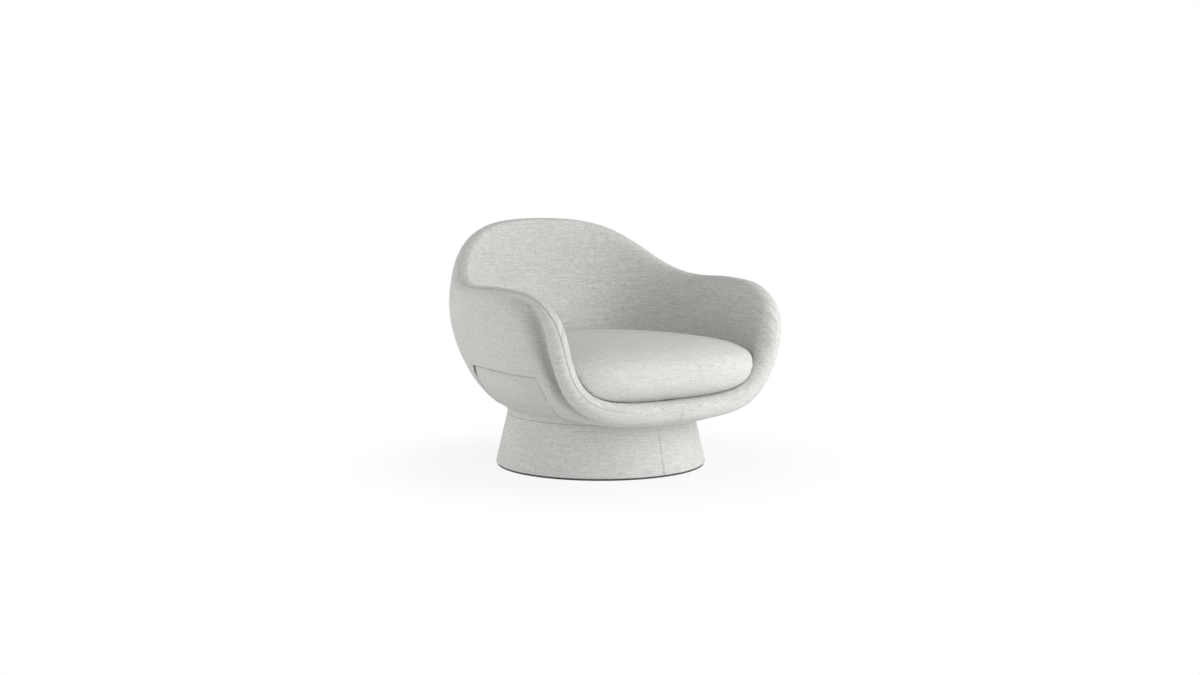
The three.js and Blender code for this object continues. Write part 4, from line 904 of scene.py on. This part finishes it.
def innerReach(turn, height):
    # how far out the inside cloth is at each turn from the front and each height
    t, v = np.meshgrid(np.linspace(0, halfSteps, 400), np.linspace(0, 1, 160), indexing="ij")
    wall = offWall(t, v, -halfThickness(t, v)).reshape(-1, 3)
    rollT, angle = np.meshgrid(np.linspace(0, halfSteps, 400), np.linspace(np.pi / 2, np.pi, 30), indexing="ij")
    roll = onRoll(rollT, angle, halfThickness(rollT, 0 * rollT)).reshape(-1, 3)
    inside = np.concatenate([wall, roll])
    turnBins, lowest, highest, heightBins = 90, 0.215, 0.43, 54
    row = np.floor(np.arctan2(inside[:, 0], -inside[:, 1]) / np.pi * turnBins).astype(int)
    column = np.floor((inside[:, 2] - lowest) / (highest - lowest) * heightBins).astype(int)
    good = (row >= 0) & (row < turnBins) & (column >= 0) & (column < heightBins)
    table = np.full((turnBins, heightBins), 9.0)
    np.minimum.at(table, (row[good], column[good]), np.hypot(inside[:, 0], inside[:, 1])[good])
    table = np.minimum.accumulate(table[:, ::-1], 1)[:, ::-1]
    x = np.clip(np.minimum(turn, 2 * np.pi - turn) / np.pi * turnBins - 0.5, 0, turnBins - 1.001)
    y = np.clip((height - lowest) / (highest - lowest) * heightBins - 0.5, 0, heightBins - 1.001)
    i, j, fx, fy = x.astype(int), y.astype(int), x % 1, y % 1
    return ((table[i, j] * (1 - fy) + table[i, j + 1] * fy) * (1 - fx)
            + (table[i + 1, j] * (1 - fy) + table[i + 1, j + 1] * fy) * fx)


def heldOff(radius, wall, soft=0.006):
    # eases a radius to stay inside the wall
    over = np.maximum(radius - wall + soft, 0)
    return np.where(over > 0, np.minimum(wall, wall - soft + soft * (1 - np.exp(-over / soft))), radius)


def sideReach(turn, z):
    # radius of the form above its equator: a superellipse between the equator and the crown
    reach = closedSpline(cushion["reach"], turn / np.pi * halfSteps)
    equator = cushion["equator"] + cushion["sideLift"] * np.abs(np.sin(turn))
    rise = np.clip((z - equator) / (cushion["top"] - equator), 0, 1)
    power = cushion["crownPower"]
    return heldOff(reach * (1 - rise ** power) ** (1 / power), innerReach(turn, z) - cushion["clear"])


def zipGroove(points):
    # the cover sinks where the zip is let in
    turn = np.abs(np.arctan2(points[:, 0], -points[:, 1]) % (2 * np.pi) - np.pi)
    climb = np.abs(points[:, 2] - zipStrip["height"])
    depth = zipStrip["sink"] * (1 - smooth(turn, zipStrip["halfTurn"], zipStrip["halfTurn"] + 0.03))
    depth = depth * (1 - smooth(climb, zipStrip["halfWidth"] - 0.001, zipStrip["halfWidth"] + 0.004))
    share = 1 - depth / np.maximum(np.hypot(points[:, 0], points[:, 1]), 0.05)
    return points * np.stack([share, share, 0 * share + 1], -1)


def cushionForm(inset=0.0):
    # each column: flat floor, quarter turn out to the equator, superellipse up to the crown, held off the wall
    turn = np.arange(cushion["columns"]) / cushion["columns"] * 2 * np.pi
    place = turn / np.pi * halfSteps
    reach = closedSpline(cushion["reach"], place) - inset
    low, high = cushion["bottom"] + inset, cushion["top"] - inset
    equator = cushion["equator"] + cushion["sideLift"] * np.abs(np.sin(turn))
    floor = np.linspace(0, cushion["floorEdge"], 24)[:-1]
    edge = np.linspace(0, np.pi / 2, 26)[:-1]
    over = np.linspace(0, np.pi / 2, 48)
    power = 2 / cushion["crownPower"]
    share = np.concatenate([floor, cushion["floorEdge"] + (1 - cushion["floorEdge"]) * np.sin(edge),
                            np.maximum(np.cos(over), 0) ** power])
    lowRise = np.concatenate([0 * floor, 1 - np.cos(edge), 0 * over + 1])
    highRise = np.concatenate([0 * floor, 0 * edge, np.sin(over) ** power])
    r = share[:, None] * reach
    z = low + lowRise[:, None] * (equator - low) + highRise[:, None] * (high - equator)
    turnGrid = np.broadcast_to(turn, r.shape)
    wall = innerReach(turnGrid, z) - cushion["clear"] - inset
    r = heldOff(r, wall)
    return np.stack([r * np.sin(turn), -r * np.cos(turn), z], -1)


def cushionUv(points):
    # the cloth laid flat round the crown: distance from the crown down the surface, in the same direction
    turn = np.arctan2(points[:, 0], -points[:, 1]) % (2 * np.pi)
    climb = np.arctan2(points[:, 2] - cushion["equator"], np.hypot(points[:, 0], points[:, 1]))
    form = cushionForm()[::-1]
    formClimb = np.arctan2(form[..., 2] - cushion["equator"], np.hypot(form[..., 0], form[..., 1]))
    run = runLengths(form, 0)
    climbs = np.linspace(-np.pi / 2, np.pi / 2, 240)
    table = np.stack([np.interp(-climbs, -formClimb[:, k], run[:, k]) for k in range(form.shape[1])])
    x = turn / (2 * np.pi) * form.shape[1]
    y = np.clip((climb / np.pi + 0.5) * (len(climbs) - 1), 0, len(climbs) - 1.001)
    i, j, fx, fy = x.astype(int) % form.shape[1], y.astype(int), x % 1, y % 1
    k = (i + 1) % form.shape[1]
    away = ((table[i, j] * (1 - fy) + table[i, j + 1] * fy) * (1 - fx)
            + (table[k, j] * (1 - fy) + table[k, j + 1] * fy) * fx)
    return np.stack([away * np.sin(turn), -away * np.cos(turn)], -1)


def vertexPlaces(mesh):
    places = np.zeros(len(mesh.vertices) * 3, np.float32)
    mesh.vertices.foreach_get("co", places)
    return places.reshape(-1, 3).astype(float)


def keepClear(points):
    # inside the walls and above the deck
    turn = np.arctan2(points[:, 0], -points[:, 1]) % (2 * np.pi)
    radius = np.hypot(points[:, 0], points[:, 1])
    wall = innerReach(turn, points[:, 2]) - cushion["clear"]
    share = np.minimum(1, wall / np.maximum(radius, 1e-6))
    return np.stack([points[:, 0] * share, points[:, 1] * share,
                     np.maximum(points[:, 2], cushion["bottom"])], -1)


def closeShell(piece):
    # joins the points at the poles, closes what is open and turns the faces out
    work = bmesh.new()
    work.from_mesh(piece.data)
    bmesh.ops.remove_doubles(work, verts=work.verts, dist=1e-5)
    bmesh.ops.holes_fill(work, edges=work.edges)
    bmesh.ops.recalc_face_normals(work, faces=work.faces)
    work.to_mesh(piece.data)
    work.free()


def evened(mesh, moved):
    # each move becomes the mean of its neighbours' moves, again and again, so that the cloth lies smooth
    edge = np.zeros(len(mesh.edges) * 2, np.int32)
    mesh.edges.foreach_get("vertices", edge)
    one, two = edge.reshape(-1, 2).T
    count = np.bincount(one, minlength=len(moved)) + np.bincount(two, minlength=len(moved))
    for _ in range(cushion["evenings"]):
        total = np.stack([np.bincount(one, moved[two, k], len(moved))
                          + np.bincount(two, moved[one, k], len(moved)) for k in range(moved.shape[1])], -1)
        moved = 0.5 * moved + 0.5 * total / count[:, None]
    return moved


def makeCushion():
    # Closed form, remeshed and blown up as cloth under pressure. Of the cloth's move only the part along the
    # normal is kept, held between inset and cap: most points reach one of the two, so the form in
    # cushionForm sets the shape and the cloth only changes it by a few millimetres.
    points = cushionForm(cushion["inset"])
    rows, columns = points.shape[:2]
    faces = gridFaces(rows, columns, wrap=True)
    piece = meshFromFaces("seatCushion", points, faces)
    closeShell(piece)
    remesh = piece.modifiers.new("voxels", "REMESH")
    remesh.mode, remesh.voxel_size = "VOXEL", cushion["voxel"]
    remesh.use_smooth_shade = True
    applyModifiers(piece)
    start = vertexPlaces(piece.data)
    startNormal = np.zeros(start.size, np.float32)
    piece.data.vertices.foreach_get("normal", startNormal)
    startNormal = startNormal.reshape(-1, 3).astype(float)
    cloth = piece.modifiers.new("cloth", "CLOTH")
    cloth.settings.use_pressure = True
    cloth.settings.uniform_pressure_force = cushion["pressure"]
    cloth.settings.effector_weights.gravity = 0
    cloth.point_cache.frame_end = cushion["frames"]
    for frameNumber in range(1, cushion["frames"] + 1):
        bpy.context.scene.frame_set(frameNumber)
    applyModifiers(piece)
    bpy.context.scene.frame_set(1)
    moved = vertexPlaces(piece.data) - start
    length = np.linalg.norm(moved, axis=1, keepdims=True)
    print("cushion cloth moved", round(float(length.mean()) * 1000, 2), "mm on average,",
          round(float(length.max()) * 1000, 2), "mm at most")
    swell = (moved * startNormal).sum(1, keepdims=True)
    held = (swell <= cushion["inset"]) | (swell >= cushion["cap"])
    print("cushion swell held at its limits on", round(float(held.mean()) * 100, 1), "% of the points")
    swell = np.clip(swell, cushion["inset"], cushion["cap"])
    done = keepClear(start + evened(piece.data, swell) * startNormal)
    piece.data.vertices.foreach_set("co", done.astype(np.float32).ravel())
    divide = piece.modifiers.new("subdivision", "SUBSURF")
    divide.levels = divide.render_levels = 1
    applyModifiers(piece)
    done = zipGroove(vertexPlaces(piece.data))
    piece.data.vertices.foreach_set("co", done.astype(np.float32).ravel())
    layer = piece.data.uv_layers.new(name="weave")
    corner = np.zeros(len(piece.data.loops), np.int32)
    piece.data.loops.foreach_get("vertex_index", corner)
    layer.data.foreach_set("uv", cushionUv(done)[corner].astype(np.float32).ravel())
    piece.data.shade_smooth()
    return piece


def applyModifiers(piece):
    # the evaluated mesh takes the place of the piece's own
    shown = piece.evaluated_get(bpy.context.evaluated_depsgraph_get())
    mesh = bpy.data.meshes.new_from_object(shown)
    mesh.name = piece.name
    piece.modifiers.clear()
    piece.data = mesh


seatCushion = makeCushion()
seatCushion.data.materials.append(linens["cushion"])
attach(seatCushion, "seat")
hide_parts("cushion_cover", "cushion_foam")
print("cushion done")


# Zip at the back of the cushion

def makeZip():
    # a strip of tape let into the cover: turn along it, climb across it, teeth as waves down its middle
    turn, climb = np.meshgrid(np.linspace(-1, 1, zipStrip["columns"]) * zipStrip["halfTurn"] + np.pi,
                              np.linspace(-1, 1, zipStrip["rows"]) * zipStrip["halfWidth"])
    reach = sideReach(turn, zipStrip["height"] + climb)
    along = turn * reach.mean()
    tooth = 0.6 + 0.4 * np.sin(2 * np.pi * along / zipStrip["pitch"] + np.pi * (climb > 0))
    chain = zipStrip["chain"] * tooth * np.exp(-(climb / zipStrip["chainWidth"]) ** 4)
    lips = zipStrip["lip"] * np.exp(-((np.abs(climb) - zipStrip["lipAt"]) / 0.0016) ** 2)
    radius = reach - zipStrip["tape"] + chain + lips - zipStrip["sink"] * smooth(np.abs(climb), 0.0105, 0.0125)
    points = np.stack([radius * np.sin(turn), -radius * np.cos(turn), zipStrip["height"] + climb], -1)
    uv = np.stack([along, climb], -1)
    # painted shade along both edges of the chain
    paintedShade = creaseShade(np.abs(climb) - 0.004, 0.0007)
    strip = meshFromFaces("cushionZipTape", points, gridFaces(*climb.shape), uv, paintedShade)
    strip.data.materials.append(finishes["zip"])
    wall = strip.modifiers.new("tapeThickness", "SOLIDIFY")
    wall.thickness, wall.offset = 0.0008, -1
    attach(strip, "seat")
    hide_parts("cushion_zip")


def makeZipPull():
    # flat tab: a superellipse loop of rounded section, hung from the closed end of the chain
    around, section = np.meshgrid(np.linspace(0, 2 * np.pi, 61)[:-1], np.linspace(-np.pi / 2, np.pi / 2, 15))
    power = 0.55
    wide = np.cos(section) ** 0.4
    side = np.sign(np.cos(around)) * np.abs(np.cos(around)) ** power * wide * zipStrip["pullWidth"]
    drop = np.sign(np.sin(around)) * np.abs(np.sin(around)) ** power * wide * zipStrip["pullLength"]
    proud = np.sin(section) * zipStrip["pullHalf"]
    turn = np.pi - 0.95 * zipStrip["halfTurn"]
    reach = sideReach(np.array([turn]), np.array([zipStrip["height"]]))[0]
    across, outward = np.array([np.cos(turn), np.sin(turn), 0]), np.array([np.sin(turn), -np.cos(turn), 0])
    middle = outward * (reach - 0.0004) + np.array([0, 0, zipStrip["height"] - 0.001])
    points = (middle + drop[..., None] * across + proud[..., None] * outward
              + side[..., None] * np.array([0, 0, 1]))
    pull = meshFromFaces("cushionZipPull", points, gridFaces(*around.shape, wrap=True)[:, ::-1])
    closeShell(pull)
    pull.data.materials.append(finishes["steel"])
    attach(pull, "seat")


makeZip()
makeZipPull()
print("zip done")


# Deck under the cushion

deck = {"radius": 0.2475, "bottom": 0.1905, "top": 0.2307, "round": 0.009, "crown": 0.0012, "columns": 160}


def makeDeck():
    # closed round pad: flat floor, rounded edges, a top that rises a little to its middle
    edge = np.linspace(0, np.pi / 2, 9)
    inner = deck["radius"] - deck["round"]
    flat = np.linspace(0, inner, 24)
    r = np.concatenate([flat[:-1], inner + deck["round"] * np.sin(edge), inner + deck["round"] * np.cos(edge),
                        flat[::-1][1:]])
    low, high = deck["bottom"] + deck["round"], deck["top"] - deck["crown"] - deck["round"]
    z = np.concatenate([0 * flat[:-1] + deck["bottom"], low - deck["round"] * np.cos(edge),
                        high + deck["round"] * np.sin(edge), 0 * flat[1:] + high + deck["round"]])
    z = z + deck["crown"] * (1 - (r / deck["radius"]) ** 2) * (z > high)
    turn = np.arange(deck["columns"]) / deck["columns"] * 2 * np.pi
    points = np.stack([r[:, None] * np.sin(turn), -r[:, None] * np.cos(turn), z[:, None] + 0 * turn], -1)
    piece = meshFromFaces("seatDeck", points, gridFaces(len(r), len(turn), wrap=True), points[..., :2])
    closeShell(piece)
    piece.data.materials.append(finishes["deck_cloth"])
    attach(piece, "seat")
    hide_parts("deck_foam", "deck_cloth")


makeDeck()
print("deck done")


# Camera, light and floor

view = {"distance": 4.8832, "height": 0.8815, "lookAt": 0.3849, "turn": -0.616082, "lens": 47.997,
        "shift": -0.000547}

camera = bpy.data.objects.new("camera", bpy.data.cameras.new("camera"))
bpy.context.scene.collection.objects.link(camera)
camera.data.sensor_width = 36
camera.data.lens = view["lens"]
camera.data.shift_x = view["shift"]
camera.location = (view["distance"] * math.sin(view["turn"]), -view["distance"] * math.cos(view["turn"]),
                   view["height"])
camera.rotation_euler = (Vector((0, 0, view["lookAt"])) - camera.location).to_track_quat("-Z", "Y").to_euler()
bpy.context.scene.camera = camera
bpy.context.scene.view_settings.view_transform = "Standard"

lamps = {
    "frontRight": {"turn": 45, "rise": 8, "away": 3.4, "size": 1.6, "power": 29},
    "right": {"turn": 80, "rise": 25, "away": 3.4, "size": 1.6, "power": 46},
    "left": {"turn": 280, "rise": 8, "away": 3.4, "size": 2.2, "power": 40},
}
for name, lamp in lamps.items():
    # turn is round from the camera, rise above the seat, in degrees
    turn, rise = view["turn"] + math.radians(lamp["turn"]), math.radians(lamp["rise"])
    light = bpy.data.lights.new(name, "AREA")
    light.size = lamp["size"]
    light.energy = lamp["power"]
    holder = bpy.data.objects.new(name, light)
    bpy.context.scene.collection.objects.link(holder)
    holder.location = (lamp["away"] * math.cos(rise) * math.sin(turn),
                       -lamp["away"] * math.cos(rise) * math.cos(turn), 0.35 + lamp["away"] * math.sin(rise))
    holder.rotation_euler = (Vector((0, 0, 0.35)) - holder.location).to_track_quat("-Z", "Y").to_euler()


def backgroundRays(tree):
    # 1 where the ray comes from the camera, a reflection or through glass
    path = addNode(tree, "ShaderNodeLightPath").outputs
    seen = calc(tree, "MAXIMUM", path["Is Camera Ray"], path["Is Glossy Ray"])
    return calc(tree, "MAXIMUM", seen, path["Is Transmission Ray"])


world = bpy.data.worlds.new("studio")
world.use_nodes = True
bpy.context.scene.world = world
worldTree = world.node_tree
plain = worldTree.nodes["Background"]
plain.inputs["Color"].default_value = (1, 1, 1, 1)
plain.inputs["Strength"].default_value = 0.44
white = addNode(worldTree, "ShaderNodeBackground", {"Color": (1, 1, 1, 1), "Strength": 1.0})
mixed = addNode(worldTree, "ShaderNodeMixShader", {0: backgroundRays(worldTree), 1: plain.outputs[0],
                                                   2: white.outputs[0]})
worldTree.links.new(mixed.outputs[0], worldTree.nodes["World Output"].inputs["Surface"])

floorMaterial, floorTree, floorShader = newMaterial("studioFloor")
floorShader.inputs["Roughness"].default_value = 0.9
floorShader.inputs["Specular IOR Level"].default_value = 0.0
grain = noise(floorTree, objectPlace(floorTree), 3.0)
tone = addNode(floorTree, "ShaderNodeMix", {"Factor": grain, "A": (0.9, 0.9, 0.9, 1),
                                            "B": (0.91, 0.91, 0.91, 1)}, data_type="RGBA")
floorTree.links.new(tone.outputs["Result"], floorShader.inputs["Base Color"])
away = addNode(floorTree, "ShaderNodeVectorMath", {0: objectPlace(floorTree)},
               operation="LENGTH").outputs["Value"]
fade = addNode(floorTree, "ShaderNodeMapRange", {"Value": away, "From Min": 0.38, "From Max": 0.85},
               interpolation_type="SMOOTHSTEP").outputs[0]
glow = addNode(floorTree, "ShaderNodeEmission", {"Color": (1, 1, 1, 1), "Strength": 1.0})
mask = calc(floorTree, "MULTIPLY", calc(floorTree, "MULTIPLY_ADD", fade, 0.16, 0.84), backgroundRays(floorTree))
floorMix = addNode(floorTree, "ShaderNodeMixShader", {0: mask, 1: floorShader.outputs[0], 2: glow.outputs[0]})
floorTree.links.new(floorMix.outputs[0], floorTree.nodes["Material Output"].inputs["Surface"])

floorLine = np.linspace(-6, 6, 13)
floorPoints = np.stack([*np.meshgrid(floorLine, floorLine), np.zeros((13, 13))], -1)
studioFloor = meshFromFaces("studioFloor", floorPoints, gridFaces(13, 13))
studioFloor.data.materials.append(floorMaterial)
print("studio done")
